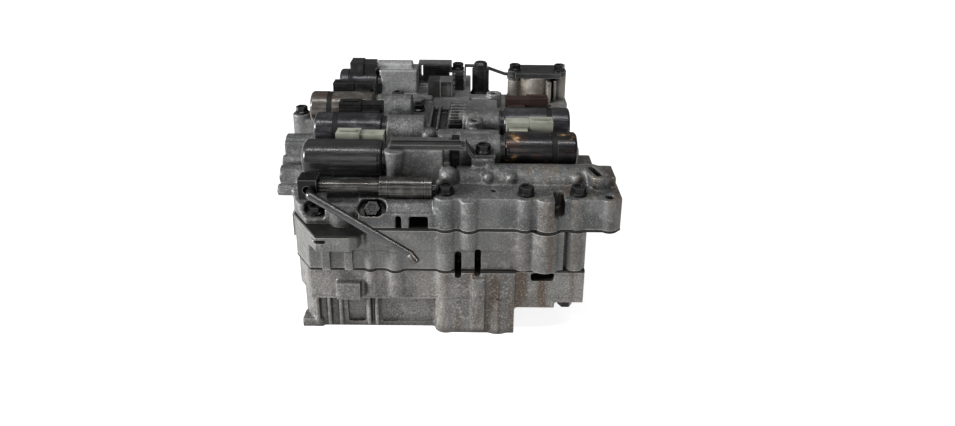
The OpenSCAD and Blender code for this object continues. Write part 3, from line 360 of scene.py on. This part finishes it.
def blackened_end(tree, place, colour, below):
    """Black to the left of a place along X in mm, with a border 1 mm wide."""
    east = add(tree, "SeparateXYZ", {0: place}, out="X")
    dipped = add(tree, "MapRange", {0: east, 1: (below + 1) * MM, 2: below * MM})
    return add(tree, "Mix", {0: dipped, 6: colour, 7: "#161616"}, **COLOUR)


print("patches are", round(1 / PATCH_STRETCH, 1), "times as long as wide")

# %% Worn metal
# Scratches are finer than a pixel in life; 1.4 mm lets them show
SCRATCH_W, FADED_W = 1.4, 10
SCRATCH_DEEP = 0.02
METAL_EDGE, METAL_CORNER = 0.8, 6


def worn_metal(name, dark, worn, metallic=0.6, rough=0.24, wear=0.5, along=(0.1, 1, 1),
               patches=(), edge="#8f8e8b", black_below=None, shine=0.5):
    """Metal with its wear drawn out along the axis that has the smallest number."""
    material, tree, shader, place = start_material(name, Metallic=metallic,
                                                   Specular_IOR_Level=shine)
    cloud = add(tree, "TexNoise", {"Vector": place, "Scale": per_mm(FADED_W), "Detail": 5.0,
                                   "Roughness": 0.6})
    drawn = add(tree, "Mapping", {"Vector": place, "Scale": along})
    scratch = add(tree, "TexNoise", {"Vector": drawn, "Scale": per_mm(SCRATCH_W), "Detail": 4.0,
                                     "Roughness": 0.7})
    faded = add(tree, "MapRange", {0: cloud, 1: 0.45, 2: 0.7, 4: wear}, **RAMP)
    colour = add(tree, "Mix", {0: faded, 6: dark, 7: worn}, **COLOUR)
    lined = add(tree, "MapRange", {0: scratch, 1: 0.55, 2: 0.72, 4: wear}, **RAMP)
    colour = add(tree, "Mix", {0: lined, 6: colour, 7: worn}, **COLOUR)
    colour = stain_and_highlight_patches(tree, place, colour, patches)
    if black_below is not None:
        colour = blackened_end(tree, place, colour, black_below)
    # Pale edges are wear and a painted highlight; dark corners are grime and painted shade
    colour = edge_wear_and_highlight(tree, colour, edge, METAL_EDGE, 0.6)
    colour = corner_dirt_and_shade(tree, colour, "#0d0c0b", METAL_CORNER, 0.8)
    gloss = add(tree, "MapRange", {0: scratch, 1: 0.3, 2: 0.75, 3: rough - 0.06, 4: rough + 0.16},
                **RAMP)
    finish_material(tree, shader, colour, gloss, scratch, SCRATCH_DEEP, 0.2)
    return material


print("scratches", SCRATCH_W, "mm wide, faded clouds", FADED_W, "mm")

# %% Cans: from plain black to silvered, browned and burnt
# Blackened and oiled: dark from straight on, pale where the light grazes
can_plain = worn_metal("plain_blackened_can_steel", "#2f2f30", "#434344", wear=0.3)
# The black is rubbed through to silvery lines
can_silver = worn_metal("silvered_can_steel", "#28282b", "#5c5c5e", wear=0.45)
# Old oil has baked on in brown patches
can_brown = worn_metal("browned_can_steel", "#4c4946", "#7c776f",
                       patches=[("#46352a", 16, 0.5, 0.6)])
# The black is worn a little all over
can_black = worn_metal("blackened_can_steel", "#303033", "#565658")
# Heat gives brown and gold and, in the middle of the gold, bare pale metal; the gold and pale
# patches are also a painted highlight
can_burnt = worn_metal("heat_burnt_can_steel", "#1f1e20", "#3c3a3a", wear=0.4,
                       patches=[("#3a2a20", 15, 0.52, 0.6), ("#a9804e", 10, 0.6, 0.8),
                                ("#e6dccb", 10, 0.66, 0.9)])
print("can finishes:", sum("can_steel" in m.name for m in bpy.data.materials))

# %% Bolts and valves
COLLAR_W = 15
collar_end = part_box("manual_valve")[0].x / MM + COLLAR_W
# Black oxide with oil: nearly black, with edges rubbed paler and given a painted highlight
bolt_black = worn_metal("black_oxide_bolt_steel", "#101011", "#2a2a2b", metallic=0.4,
                        wear=0.35, edge="#5c5c5c", shine=0.3)
# Ground, then polished by use: grey, with a long thin glint
valve_steel = worn_metal("ground_valve_steel", "#373635", "#6c6b67", metallic=0.8, rough=0.22)
# The selector's collar at the left end is blackened, the rest of the valve is ground
selector_steel = worn_metal("ground_selector_steel", "#373635", "#6c6b67", metallic=0.8,
                            rough=0.22, black_below=collar_end)
# Turned, then blackened: dark and even
dark_steel = worn_metal("blackened_turned_steel", "#1e1e1f", "#39393a", metallic=0.4,
                        rough=0.3, wear=0.4)
print("blackened collar ends at", round(collar_end, 1), "mm")

# %% Rod, sheet, springs and terminals
# Drawn wire, left bare: bright, with a few spots of rust
rod_steel = worn_metal("drawn_rod_steel", "#4f4f4f", "#7a7977", metallic=0.95, rough=0.3,
                       wear=0.2, along=(0.3, 1, 0.3), patches=[("#4b3a2c", 12, 0.58, 0.4)])
# Cold-rolled sheet, pressed: a soft grey sheen
sheet_steel = worn_metal("pressed_sheet_steel", "#454546", "#737372", rough=0.32)
# Blued sheet: dark, with pale cut edges
dark_sheet = worn_metal("blued_sheet_steel", "#262627", "#444445", metallic=0.3, rough=0.4,
                        wear=0.4, edge="#a5a4a0")
# Zinc-plated: pale and nearly matt
yoke_steel = worn_metal("plated_yoke_steel", "#5c5c5b", "#7f7e7d", metallic=0.5, rough=0.36)
# Hard-drawn wire, wound cold: smooth and fairly bright
spring_steel = worn_metal("wound_spring_steel", "#4a4b4d", "#7f8082", metallic=0.8, rough=0.3,
                          wear=0.4)
# Brass under tin: yellow where the tin has rubbed off
brass = worn_metal("tinned_terminal_brass", "#8a7638", "#cabd8a", metallic=0.9, rough=0.3)
print("steel finishes:", sum(m.name.endswith("steel") for m in bpy.data.materials))

# %% [markdown]
# ## Separator plates
# Each plate is stamped from cold-rolled steel and bonded to black gasket paper. From the front
# only its cut edge shows, painted near-black as painted shade in the joint, so it reads as a thin
# black line. Where the upper plate stands out past the casting its top shows, oily and dark, with
# wipe marks. A picture of a plate could be laid on, but the top is only seen at a slant, and a
# noise drawn out along X is enough for that.

# %% Plate steel
WIPE_W, WIPE_STRETCH = 6, 0.25
WIPE_DEEP = 0.05
PLATE_CORNER = 4


def stamped_plate_steel(name):
    material, tree, shader, place = start_material(name, Metallic=0.4)
    wiped = add(tree, "Mapping", {"Vector": place, "Scale": (WIPE_STRETCH, 1, 1)})
    wiped = add(tree, "TexNoise", {"Vector": wiped, "Scale": per_mm(WIPE_W), "Detail": 5.0})
    marks = add(tree, "MapRange", {0: wiped, 1: 0.4, 2: 0.72}, **RAMP)
    colour = add(tree, "Mix", {0: marks, 6: "#2d2c2c", 7: "#6d6c6a"}, **COLOUR)
    # Side faces are painted near-black: painted shade in the joint
    upward = add(tree, "SeparateXYZ", {0: add(tree, "NewGeometry", out="Normal")}, out="Z")
    top_vs_shaded_side = add(tree, "MapRange", {0: upward, 1: 0.4, 2: 0.8}, **RAMP)
    colour = add(tree, "Mix", {0: top_vs_shaded_side, 6: "#060606", 7: colour}, **COLOUR)
    # Dark corners: grime and painted shade
    colour = corner_dirt_and_shade(tree, colour, "#0d0c0b", PLATE_CORNER, 0.5)
    gloss = add(tree, "MapRange", {0: wiped, 1: 0.3, 2: 0.7, 3: 0.5, 4: 0.32}, **RAMP)
    finish_material(tree, shader, colour, gloss, wiped, WIPE_DEEP, 0.3)
    return material


plate_steel = stamped_plate_steel("stamped_plate_steel")
print("plate:", plate_steel.name)

# %% [markdown]
# ## Moulded plastic, gasket paper and rubber
# The sockets and coils are glass-filled nylon from a mould: a soft sheen, a faint grain, greasy
# and with painted shade in the corners, and edges paler from dust and a painted highlight. The
# black ones have faint ribs along their sides, too low to need a shape of their own. The gaskets
# are fibre paper and the seal rings nitrile rubber. Each could have its own recipe, but they
# share the soft dull look, so one gives all of them.

# %% Soft sheen
# The mould's spark grain is about 0.1 mm wide in life; 0.9 mm lets it show
SPARK_W, GREASE_W = 0.9, 9
SPARK_DEEP = 0.06
GREASE_SHARE = 0.35
# Ribs stand this many times as high as the grain
RIB_HEIGHT = 4.0
SOFT_EDGE, SOFT_CORNER = 0.8, 5
# At scale 1 the wave pattern passes 20 radians in one metre
WAVE_RADIANS = 20


def soft_sheen(name, base, dust_and_highlight, rough=0.45, ribs=0.0, shine=0.5, rubbed_and_highlit=0.8):
    """A dull surface with a grain. Ribs are given by their spacing in mm."""
    material, tree, shader, place = start_material(name, IOR=1.5, Specular_IOR_Level=shine)
    cloud = add(tree, "TexNoise", {"Vector": place, "Scale": per_mm(GREASE_W), "Detail": 5.0})
    grain = add(tree, "TexNoise", {"Vector": place, "Scale": per_mm(SPARK_W), "Detail": 2.0})
    pale = add(tree, "MapRange", {0: cloud, 1: 0.42, 2: 0.7, 4: 0.5}, **RAMP)
    colour = add(tree, "Mix", {0: pale, 6: base, 7: dust_and_highlight}, **COLOUR)
    greasy = add(tree, "MapRange", {0: cloud, 1: 0.46, 2: 0.3, 4: GREASE_SHARE}, **RAMP)
    colour = add(tree, "Mix", {0: greasy, 6: colour, 7: "#2a251f"}, **COLOUR)
    fleck = add(tree, "MapRange", {0: grain, 1: 0.62, 2: 0.75, 4: 0.25}, **RAMP)
    colour = add(tree, "Mix", {0: fleck, 6: colour, 7: dust_and_highlight}, **COLOUR)
    # Pale edges: dust and a painted highlight; dark corners: grease and painted shade
    if rubbed_and_highlit:
        colour = edge_wear_and_highlight(tree, colour, dust_and_highlight, SOFT_EDGE, rubbed_and_highlit)
    colour = corner_dirt_and_shade(tree, colour, "#0e0d0c", SOFT_CORNER, 0.75)
    relief = grain
    if ribs:
        turns = 2 * math.pi * per_mm(ribs) / WAVE_RADIANS
        band = add(tree, "TexWave", {"Vector": place, "Scale": turns}, out="Fac",
                   bands_direction="Z")
        relief = add(tree, "Math", {0: band, 1: RIB_HEIGHT, 2: grain}, operation="MULTIPLY_ADD")
    gloss = add(tree, "MapRange", {0: cloud, 1: 0.3, 2: 0.7, 3: rough - 0.1, 4: rough + 0.1},
                **RAMP)
    finish_material(tree, shader, colour, gloss, relief, SPARK_DEEP, 0.5)
    return material


print("spark grain", SPARK_W, "mm wide, grease", GREASE_W, "mm")

# %% Plastic, paper and rubber finishes
# Nylon from the mould: a soft sheen, with dust and a painted highlight on its edges
beige_nylon = soft_sheen("beige_glass_filled_nylon", "#7f8074", "#93948a", rough=0.5)
black_nylon = soft_sheen("black_glass_filled_nylon", "#111112", "#2a2a2b", rough=0.4, ribs=2.5,
                         shine=0.2)
grey_nylon = soft_sheen("grey_black_glass_filled_nylon", "#1d1d1e", "#343436", shine=0.3)
brown_nylon = soft_sheen("brown_glass_filled_nylon", "#2b1e1b", "#372825", rough=0.5,
                         shine=0.2)
# Pressed paper, soaked with oil: black and dull
fibre_paper = soft_sheen("fibre_gasket_paper", "#0b0b0b", "#1c1b1a", rough=0.6, shine=0.25,
                         rubbed_and_highlit=0)
# Moulded rubber: black, hardly a sheen
nitrile = soft_sheen("nitrile_seal_rubber", "#0c0c0c", "#181818", rough=0.6, shine=0.2, rubbed_and_highlit=0)
print("materials so far:", len(bpy.data.materials))

# %% [markdown]
# ## Castings
# A casting has no sharp corner except where it was machined: the mould gives every edge and
# every inner corner a fillet. Bevels can't follow hundreds of crossing bosses, so each CAD
# casting is copied, drawn out a little past its machined faces, turned into an even skin of
# small quads, smoothed so that fillets form, and then cut off flat again at the machined
# faces, which stay crisp.

# %% Making pieces
def shown_mesh(obj):
    """The mesh of an object with its modifiers applied."""
    graph = bpy.context.evaluated_depsgraph_get()
    return bpy.data.meshes.new_from_object(obj.evaluated_get(graph))


def new_piece(name, mesh, body, material):
    piece = bpy.data.objects.new(name, mesh)
    bpy.context.scene.collection.objects.link(piece)
    mesh.materials.clear()
    mesh.materials.append(material)
    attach(piece, body)
    return piece


def smooth_shading(mesh, angle):
    mesh.shade_smooth()
    mesh.set_sharp_from_angle(angle=math.radians(angle))


# %% Skin with fillets
MOST_TRIANGLES = 190000


def skin_of(mesh, voxel, rounds):
    """An even skin with fillets: voxels of a size in mm, then rounds of smoothing."""
    work = bpy.data.objects.new("work", mesh)
    bpy.context.scene.collection.objects.link(work)
    skin = work.modifiers.new("skin", "REMESH")
    skin.mode = "VOXEL"
    skin.voxel_size = voxel * MM
    fillets = work.modifiers.new("fillets", "SMOOTH")
    fillets.factor = 0.5
    fillets.iterations = rounds
    dense = shown_mesh(work)
    work.modifiers.clear()
    work.data = dense
    triangles = 2 * len(dense.polygons)
    if triangles > MOST_TRIANGLES:
        fewer = work.modifiers.new("fewer", "DECIMATE")
        fewer.ratio = MOST_TRIANGLES / triangles
    final = shown_mesh(work)
    bpy.data.objects.remove(work)
    return final


print("at most", MOST_TRIANGLES, "triangles a casting")

# %% Flat cuts
def cut_flat(mesh, height, keep_above):
    """Cuts a mesh level at a height and closes the cut."""
    work = bmesh.new()
    work.from_mesh(mesh)
    everything = work.verts[:] + work.edges[:] + work.faces[:]
    cut = bmesh.ops.bisect_plane(work, geom=everything, plane_co=(0, 0, height),
                                 plane_no=(0, 0, 1), clear_inner=keep_above,
                                 clear_outer=not keep_above)
    rim = [g for g in cut["geom_cut"] if isinstance(g, bmesh.types.BMEdge)]
    bmesh.ops.triangle_fill(work, use_beauty=True, edges=rim,
                            normal=(0, 0, -1 if keep_above else 1))
    work.to_mesh(mesh)
    work.free()


print("castings to make:", sum(name.endswith("_body") for name in cad))

# %% Casting
# A little less than the fillets need, so that a narrow round stays along each machined face
DRAWN_OUT = 1.5 * MM
# The edges beside a separator plate are broken, so each plate lies in a narrow dark groove
GROOVE = 0.4 * MM
TOUCH = 1e-6
# In degrees: a steeper corner stays crisp
CAST_SHARP = 48


def casting(node_name, piece_name, material, voxel, rounds, joint_under, joint_over):
    low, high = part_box(node_name)
    mesh = cad[node_name].data.copy()
    for v in mesh.vertices:
        if v.co.z < low.z + TOUCH:
            v.co.z -= DRAWN_OUT
        if joint_over and v.co.z > high.z - TOUCH:
            v.co.z += DRAWN_OUT
    final = skin_of(mesh, voxel, rounds)
    cut_flat(final, low.z + (GROOVE if joint_under else 0), True)
    if joint_over:
        cut_flat(final, high.z - GROOVE, False)
    smooth_shading(final, CAST_SHARP)
    piece = new_piece(piece_name, final, "base", material)
    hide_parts(node_name)
    print(piece_name, len(final.polygons), "faces")


casting("lower_body", "lower_casting", lower_cast, voxel=1.0, rounds=5,
        joint_under=False, joint_over=True)
casting("middle_body", "middle_casting", middle_cast, voxel=1.0, rounds=5,
        joint_under=True, joint_over=True)
casting("upper_body", "upper_casting", upper_cast, voxel=0.9, rounds=6,
        joint_under=True, joint_over=False)
casting("accumulator_body", "accumulator_casting", accumulator_cast, voxel=0.6, rounds=6,
        joint_under=False, joint_over=False)

# %% [markdown]
# ## Solenoid cans
# A can is a deep-drawn steel cup: its closed end has a generous radius, and its open end is
# rolled over the sleeve's flange. A bevelled cylinder would do from afar; a turned profile with
# true arcs gives the round ends that catch the light. Most cans have a dark band where the
# coil's end plate sits. Sizes and places are read from each CAD can's box.

# %% Skin over rings
def ring_mesh(name, rings, angle):
    """A skin over rings of points, each joined to the next. A ring of one point is a tip."""
    around = max(len(ring) for ring in rings)
    work = bmesh.new()
    made = [[work.verts.new(point) for point in ring] for ring in rings]
    for first, second in zip(made, made[1:]):
        for k in range(around):
            corners = [first[k % len(first)], first[(k + 1) % len(first)],
                       second[(k + 1) % len(second)], second[k % len(second)]]
            work.faces.new(dict.fromkeys(corners))
    bmesh.ops.recalc_face_normals(work, faces=work.faces)
    mesh = bpy.data.meshes.new(name)
    work.to_mesh(mesh)
    work.free()
    smooth_shading(mesh, angle)
    return mesh


print("a ring joins the next by quads, and a tip by triangles")

# %% Turned pieces
TURNED_SIDES, TURNED_SHARP = 96, 35


def ring_at(middle, side, other, radius, around):
    """Points of a circle, or its middle alone where the radius is nothing."""
    turns = [2 * math.pi * k / around for k in range(around if radius > 0 else 1)]
    return [middle + (side * math.cos(t) + other * math.sin(t)) * radius for t in turns]


def turned(name, profile, base, direction, body, material, around=TURNED_SIDES):
    """A piece of revolution: profile points are (along, radius) in mm from the base point."""
    along = Vector(direction).normalized()
    side = along.orthogonal().normalized()
    other = along.cross(side)
    rings = [ring_at(base + along * x * MM, side, other, r * MM, around) for x, r in profile]
    return new_piece(name, ring_mesh(name, rings, TURNED_SHARP), body, material)


print("turned pieces have", TURNED_SIDES, "sides")

# %% Can profile
SEAT_IN = 3.5
ROLLED_R, ROLLED_SUNK = 2.4, 0.4
# Shoulder after the rolled end: along the can, and how far under its full radius
SHOULDER = [(3.0, ROLLED_SUNK), (3.5, 0.1), (4.2, 0)]
# The band starts at this share of the length
BAND_AT = 0.64
BAND_W, BAND_SUNK, BAND_SLOPE = 5.2, 0.4, 0.3
BANDED_END_R, PLAIN_END_R = 3.0, 4.5
DIMPLE_IN, DIMPLE_SLOPE, DIMPLE_DEEP = 7, 0.8, 0.6
ARC_STEPS = 8


def arc(centre_x, centre_r, radius, start, stop, steps=ARC_STEPS):
    """Points of an arc between two angles in degrees."""
    turns = [math.radians(start + (stop - start) * i / steps) for i in range(steps + 1)]
    return [(centre_x + radius * math.cos(t), centre_r + radius * math.sin(t)) for t in turns]


def can_profile(length, can_r, banded):
    """From the rolled end at the sleeve, past the band, to the drawn end with its dimple."""
    profile = [(0, 0), (0, can_r - SEAT_IN)]
    profile += arc(ROLLED_R, can_r - ROLLED_R - ROLLED_SUNK, ROLLED_R, 180, 90)
    profile += [(along, can_r - sunk) for along, sunk in SHOULDER]
    if banded:
        start, stop = length * BAND_AT, length * BAND_AT + BAND_W
        profile += [(start, can_r), (start + BAND_SLOPE, can_r - BAND_SUNK),
                    (stop - BAND_SLOPE, can_r - BAND_SUNK), (stop, can_r)]
    end_r = BANDED_END_R if banded else PLAIN_END_R
    profile += arc(length - end_r, can_r - end_r, end_r, 90, 0)
    dimple_r, floor_at = can_r - DIMPLE_IN, length - DIMPLE_DEEP
    return profile + [(length, dimple_r), (floor_at, dimple_r - DIMPLE_SLOPE), (floor_at, 0)]


print("ends rounded by", BANDED_END_R, "or", PLAIN_END_R, "mm")

# %% Band profile
RING_GAP, RING_SLOPE = 0.4, 0.05
RING_SUNK, RING_PROUD = 0.3, 0.12


def band_profile(length, can_r):
    """The dark ring in the band's groove."""
    start, stop = length * BAND_AT + RING_GAP, length * BAND_AT + BAND_W - RING_GAP
    under, over = can_r - BAND_SUNK - RING_SUNK, can_r - BAND_SUNK + RING_PROUD
    return [(start - RING_SLOPE, under), (start + RING_SLOPE, over),
            (stop - RING_SLOPE, over), (stop + RING_SLOPE, under)]


print("rings", BAND_W - 2 * RING_GAP, "mm wide")

# %% Cans
WEST, EAST = Vector((-1, 0, 0)), Vector((1, 0, 0))
cans = {"left_can_1": (WEST, False, can_plain), "left_can_2": (WEST, True, can_silver),
        "left_can_3": (WEST, True, can_brown), "left_can_4": (WEST, True, can_black),
        "right_can_1": (EAST, True, can_burnt), "right_can_2": (EAST, True, can_black)}
for name, (out, banded, finish) in cans.items():
    low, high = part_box(name)
    length, can_r = (high.x - low.x) / MM, (high.z - low.z) / 2 / MM
    base = (low + high) / 2 - out * length / 2 * MM
    if banded:
        turned(name + "_band", band_profile(length, can_r), base, out, "base", nitrile)
    can = turned(name + "_drawn", can_profile(length, can_r, banded), base, out, "base", finish)
    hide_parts(name)
print("cans:", len(cans))

# %% [markdown]
# ## Link rod
# The rod is drawn wire, bent cold in a jig: its bends are smooth and it keeps its round section
# through them. A curve object could be given a bevel; rings of points swept along a line with
# true arcs at its corners give a plain mesh with even quads. Its upset head sits behind the
# valve's collar.

# %% Bent wire
BEND_STEPS = 8


def with_bends(points, radius, steps=BEND_STEPS):
    """A line through points with each corner replaced by an arc of a radius in mm."""
    line = [points[0]]
    for before, corner, after in zip(points, points[1:], points[2:]):
        into, away = (before - corner).normalized(), (after - corner).normalized()
        half = into.angle(away) / 2
        centre = corner + (into + away).normalized() * radius / math.sin(half)
        start = corner + into * radius / math.tan(half) - centre
        stop = corner + away * radius / math.tan(half) - centre
        line += [centre + start.slerp(stop, i / steps) for i in range(steps + 1)]
    return line + [points[-1]]


print("points in a bend:", BEND_STEPS + 1)

# %% Swept wire
WIRE_SIDES, WIRE_SHARP = 24, 40
# The chamfer at each end, as shares of the wire's radius
CAP_OUT, CAP_RIM = 0.15, 0.8


def swept(name, line, radius, body, material, around=WIRE_SIDES):
    """Rings along a line of points in mm, turned as little as they can, with chamfered ends."""
    ahead = [line[1] - line[0], *(b - a for a, b in zip(line, line[2:])), line[-1] - line[-2]]
    ahead = [step.normalized() for step in ahead]
    cap, rim = CAP_OUT * radius, CAP_RIM * radius
    first, last = line[0] - ahead[0] * cap, line[-1] + ahead[-1] * cap
    stations = [(first, ahead[0], 0), (first, ahead[0], rim)]
    stations += [(point, step, radius) for point, step in zip(line, ahead)]
    stations += [(last, ahead[-1], rim), (last, ahead[-1], 0)]
    spoke = ahead[0].orthogonal()
    rings = []
    for point, step, size in stations:
        spoke = (spoke - step * spoke.dot(step)).normalized()
        rings.append(ring_at(point * MM, spoke, step.cross(spoke), size * MM, around))
    return new_piece(name, ring_mesh(name, rings, WIRE_SHARP), body, material)


print("wire has", WIRE_SIDES, "sides")

# %% Link rod
ROD_R, BEND_R = 3.0, 4.2
HEAD_R, HEAD_W, HEAD_SIDES = 4.5, 2.4, 32
HEAD_ROUND, HEAD_SLOPE = 0.6, 0.5
# Places in mm from the pivot, which lies in the valve's collar
HEAD_FROM = Vector((0, 7.5, 0))
ROD_FROM, ROD_BEND = Vector((0, 8, 0)), Vector((0, -16, 0))
HOOK_BEND, HOOK_TIP = Vector((81, -32, -36.7)), Vector((82.5, -38, -41))
hinge = next(joint for joint in frame["joints"] if joint["name"] == "link_rod_hinge")
pivot = Vector(hinge["pos_m"]) / MM
rod_line = with_bends([pivot + p for p in (ROD_FROM, ROD_BEND, HOOK_BEND, HOOK_TIP)], BEND_R)
rod = swept("bent_link_rod", rod_line, ROD_R, "link_rod", rod_steel)
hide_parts("link_rod")
head = [(0, 0), (0, HEAD_R - HEAD_SLOPE), (HEAD_ROUND, HEAD_R), (HEAD_W - HEAD_ROUND, HEAD_R),
        (HEAD_W, HEAD_R - HEAD_SLOPE), (HEAD_W, 0)]
turned("link_rod_head", head, (pivot + HEAD_FROM) * MM, (0, 1, 0), "link_rod", rod_steel,
       HEAD_SIDES)
print("rod rings:", len(rod_line))

# %% [markdown]
# ## Pieces that keep their CAD shape
# Sockets, coils, bolts, plates and valves have the right shape already. A small bevel breaks
# their edges, as moulding or tumbling does, so that each edge catches a thin line of light. The
# bevel is a modifier, so the CAD mesh under it stays as it came.

# %% Finish for the CAD pieces
finishes = {
    "lower_gasket_under": fibre_paper, "lower_gasket_over": fibre_paper,
    "upper_gasket_under": fibre_paper, "upper_gasket_over": fibre_paper,
    "lower_plate": plate_steel, "upper_plate": plate_steel, "locating_pins": valve_steel,
    "check_balls": valve_steel, "stack_bolts": bolt_black, "lower_bolts": bolt_black,
    "deck_bolts": bolt_black, "accumulator_bolts": bolt_black, "sleeves": dark_steel,
    "sleeve_seals": nitrile, "left_socket_1": beige_nylon, "left_socket_2": black_nylon,
    "left_socket_3": black_nylon, "left_socket_4": grey_nylon, "right_socket_1": beige_nylon,
    "right_socket_2": brown_nylon, "socket_pins": brass, "rear_coil": black_nylon,
    "rear_yoke": yoke_steel, "front_coil": grey_nylon, "front_yoke": yoke_steel,
    "relief_valve": dark_steel, "accumulator_cover": dark_sheet,
    "accumulator_piston": valve_steel, "strap": sheet_steel, "lock_plate": dark_sheet,
    "manual_valve": selector_steel, "pressure_spool": valve_steel, "lockup_spool": valve_steel,
    "clutch_spool": valve_steel, "shift_spool": valve_steel, "bore_plugs": valve_steel,
    "plug_keys": sheet_steel, "centre_clamps": black_nylon, "centre_comb": black_nylon}
print("CAD pieces to finish:", len(finishes))

# %% Broken edges
USUAL_BREAK = 0.4
BREAK_ANGLE, CAD_SHARP = 38, 32
# Widths in mm; a ball, a ring and thin sheet have no edge to break
edge_break = {"strap": 0.3, "accumulator_cover": 0.9, "centre_comb": 0.25, "socket_pins": 0.1,
              "check_balls": 0, "sleeve_seals": 0, "lower_plate": 0, "upper_plate": 0,
              "lower_gasket_under": 0, "lower_gasket_over": 0, "upper_gasket_under": 0,
              "upper_gasket_over": 0}
for name, finish in finishes.items():
    piece = cad[name]
    piece.data.materials.clear()
    piece.data.materials.append(finish)
    width = edge_break.get(name, USUAL_BREAK)
    if width:
        bevel = piece.modifiers.new("edge_break", "BEVEL")
        bevel.width = width * MM
        bevel.segments = 2
        bevel.limit_method = "ANGLE"
        bevel.angle_limit = math.radians(BREAK_ANGLE)
    smooth_shading(piece.data, CAD_SHARP)
print("edges broken on", sum(bool(edge_break.get(n, USUAL_BREAK)) for n in finishes), "pieces")

# %% [markdown]
# ## Springs
# A valve spring is wound from hard-drawn wire. When its valve moves, the spring shortens; here
# each one is a copy of its CAD mesh. The record says which joint presses which spring, along
# which direction and how far.

# %% Spring copies
SPRING_SHARP = 60
springs = {bent["node"]: joint for joint in frame["joints"]
           for bent in joint.get("deforming_nodes", [])}
for name, joint in springs.items():
    low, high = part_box(name)
    push = Vector(joint["axis"])
    length = abs((high - low).dot(push))
    mesh = cad[name].data.copy()
    smooth_shading(mesh, SPRING_SHARP)
    wound = new_piece(name + "_wound", mesh, "base", spring_steel)
    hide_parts(name)
    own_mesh(wound)
print("springs:", len(springs))

# %% [markdown]
# ## Floor
# The part stands on white card. Strong lamps would make the card white too, but they would wash
# out the part. So the card has a grey shade of its own, which keeps the part's soft shadow, and
# gives a share of white to whatever looks at it: the camera, and the mirror of metal. That share
# doesn't light the matt surfaces.

# %% Floor
FLOOR_HALF = 12.0
FLOOR_UNDER = 0.05 * MM
CARD_GLOW = 0.86
floor_mesh = bpy.data.meshes.new("floor")
floor_mesh.from_pydata([(x * FLOOR_HALF, y * FLOOR_HALF, 0)
                        for x, y in ((-1, -1), (1, -1), (1, 1), (-1, 1))], [], [(0, 1, 2, 3)])
floor = bpy.data.objects.new("floor", floor_mesh)
floor.location.z = -FLOOR_UNDER
bpy.context.scene.collection.objects.link(floor)
floor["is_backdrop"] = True
print("floor", 2 * FLOOR_HALF, "m wide")

# %% White card
# Coated paper board: matt and even
white_card, card_tree, card_shader, _ = start_material(
    "white_card", Base_Color=linear("#a8a8a8"), Roughness=0.9)
looked_at = add(card_tree, "LightPath", out="Is Camera Ray")
for ray in ("Is Glossy Ray", "Is Transmission Ray"):
    looked_at = add(card_tree, "Math", {0: looked_at, 1: add(card_tree, "LightPath", out=ray)},
                    operation="MAXIMUM")
glow = add(card_tree, "Math", {0: looked_at, 1: CARD_GLOW}, operation="MULTIPLY")
white = add(card_tree, "Emission", {"Color": "#ffffff", "Strength": glow})
both = add(card_tree, "AddShader", {0: card_shader.outputs[0], 1: white})
card_tree.links.new(both, card_tree.nodes["Material Output"].inputs["Surface"])
floor_mesh.materials.append(white_card)
print("floor:", white_card.name)

# %% [markdown]
# ## Light
# A workshop bench: a window far to the left, which models the columns on the front, a long lamp
# overhead, whose reflection draws a pale line along each can, and a weak light from the front.
# An even sky would be simpler, but it would flatten the columns. The room has a pale ceiling and
# dim walls: steel mirrors both, so it turns from pale to dark as its surface turns, which is
# what makes it look like metal.

# %% Lamps
lamps = {
    # name: place, aim, width and height in metres, watts
    "window": ((-1.95, -0.6, 0.7), (0, 0, 0.08), 0.5, 0.5, 88),
    "long_lamp": ((0.0, -0.45, 1.15), (0, 0, 0.1), 1.5, 0.05, 9),
    "front_fill": ((-0.2, -1.6, 0.7), (0, 0, 0.08), 0.6, 0.6, 3)}
for name, (place, aim, width, height, watts) in lamps.items():
    data = bpy.data.lights.new(name, "AREA")
    data.shape = "RECTANGLE"
    data.size = width
    data.size_y = height
    data.energy = watts
    lamp = bpy.data.objects.new(name, data)
    lamp.location = place
    lamp.rotation_euler = (Vector(aim) - Vector(place)).to_track_quat("-Z", "Y").to_euler()
    bpy.context.scene.collection.objects.link(lamp)
print("lamps:", len(lamps))

# %% Room
CEILING, WALLS = 0.33, 0.04
world = bpy.data.worlds.new("grey_room")
bpy.context.scene.world = world
world.use_nodes = True
room = world.node_tree
upward = add(room, "SeparateXYZ", {0: add(room, "TexCoord", out="Generated")}, out="Z")
level = add(room, "MapRange", {0: upward, 1: 0.1, 2: 0.8, 3: WALLS, 4: CEILING}, **RAMP)
room.nodes["Background"].inputs["Color"].default_value = linear("#ffffff")
room.links.new(level, room.nodes["Background"].inputs["Strength"])
bpy.context.scene.view_settings.view_transform = "Standard"
print("ceiling", CEILING, "walls", WALLS)

# %% [markdown]
# ## Size
# The box of the dressed part is found, leaving out the floor. The dressed part has to
# stay inside the CAD box.

# %% Finish
low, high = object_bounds()
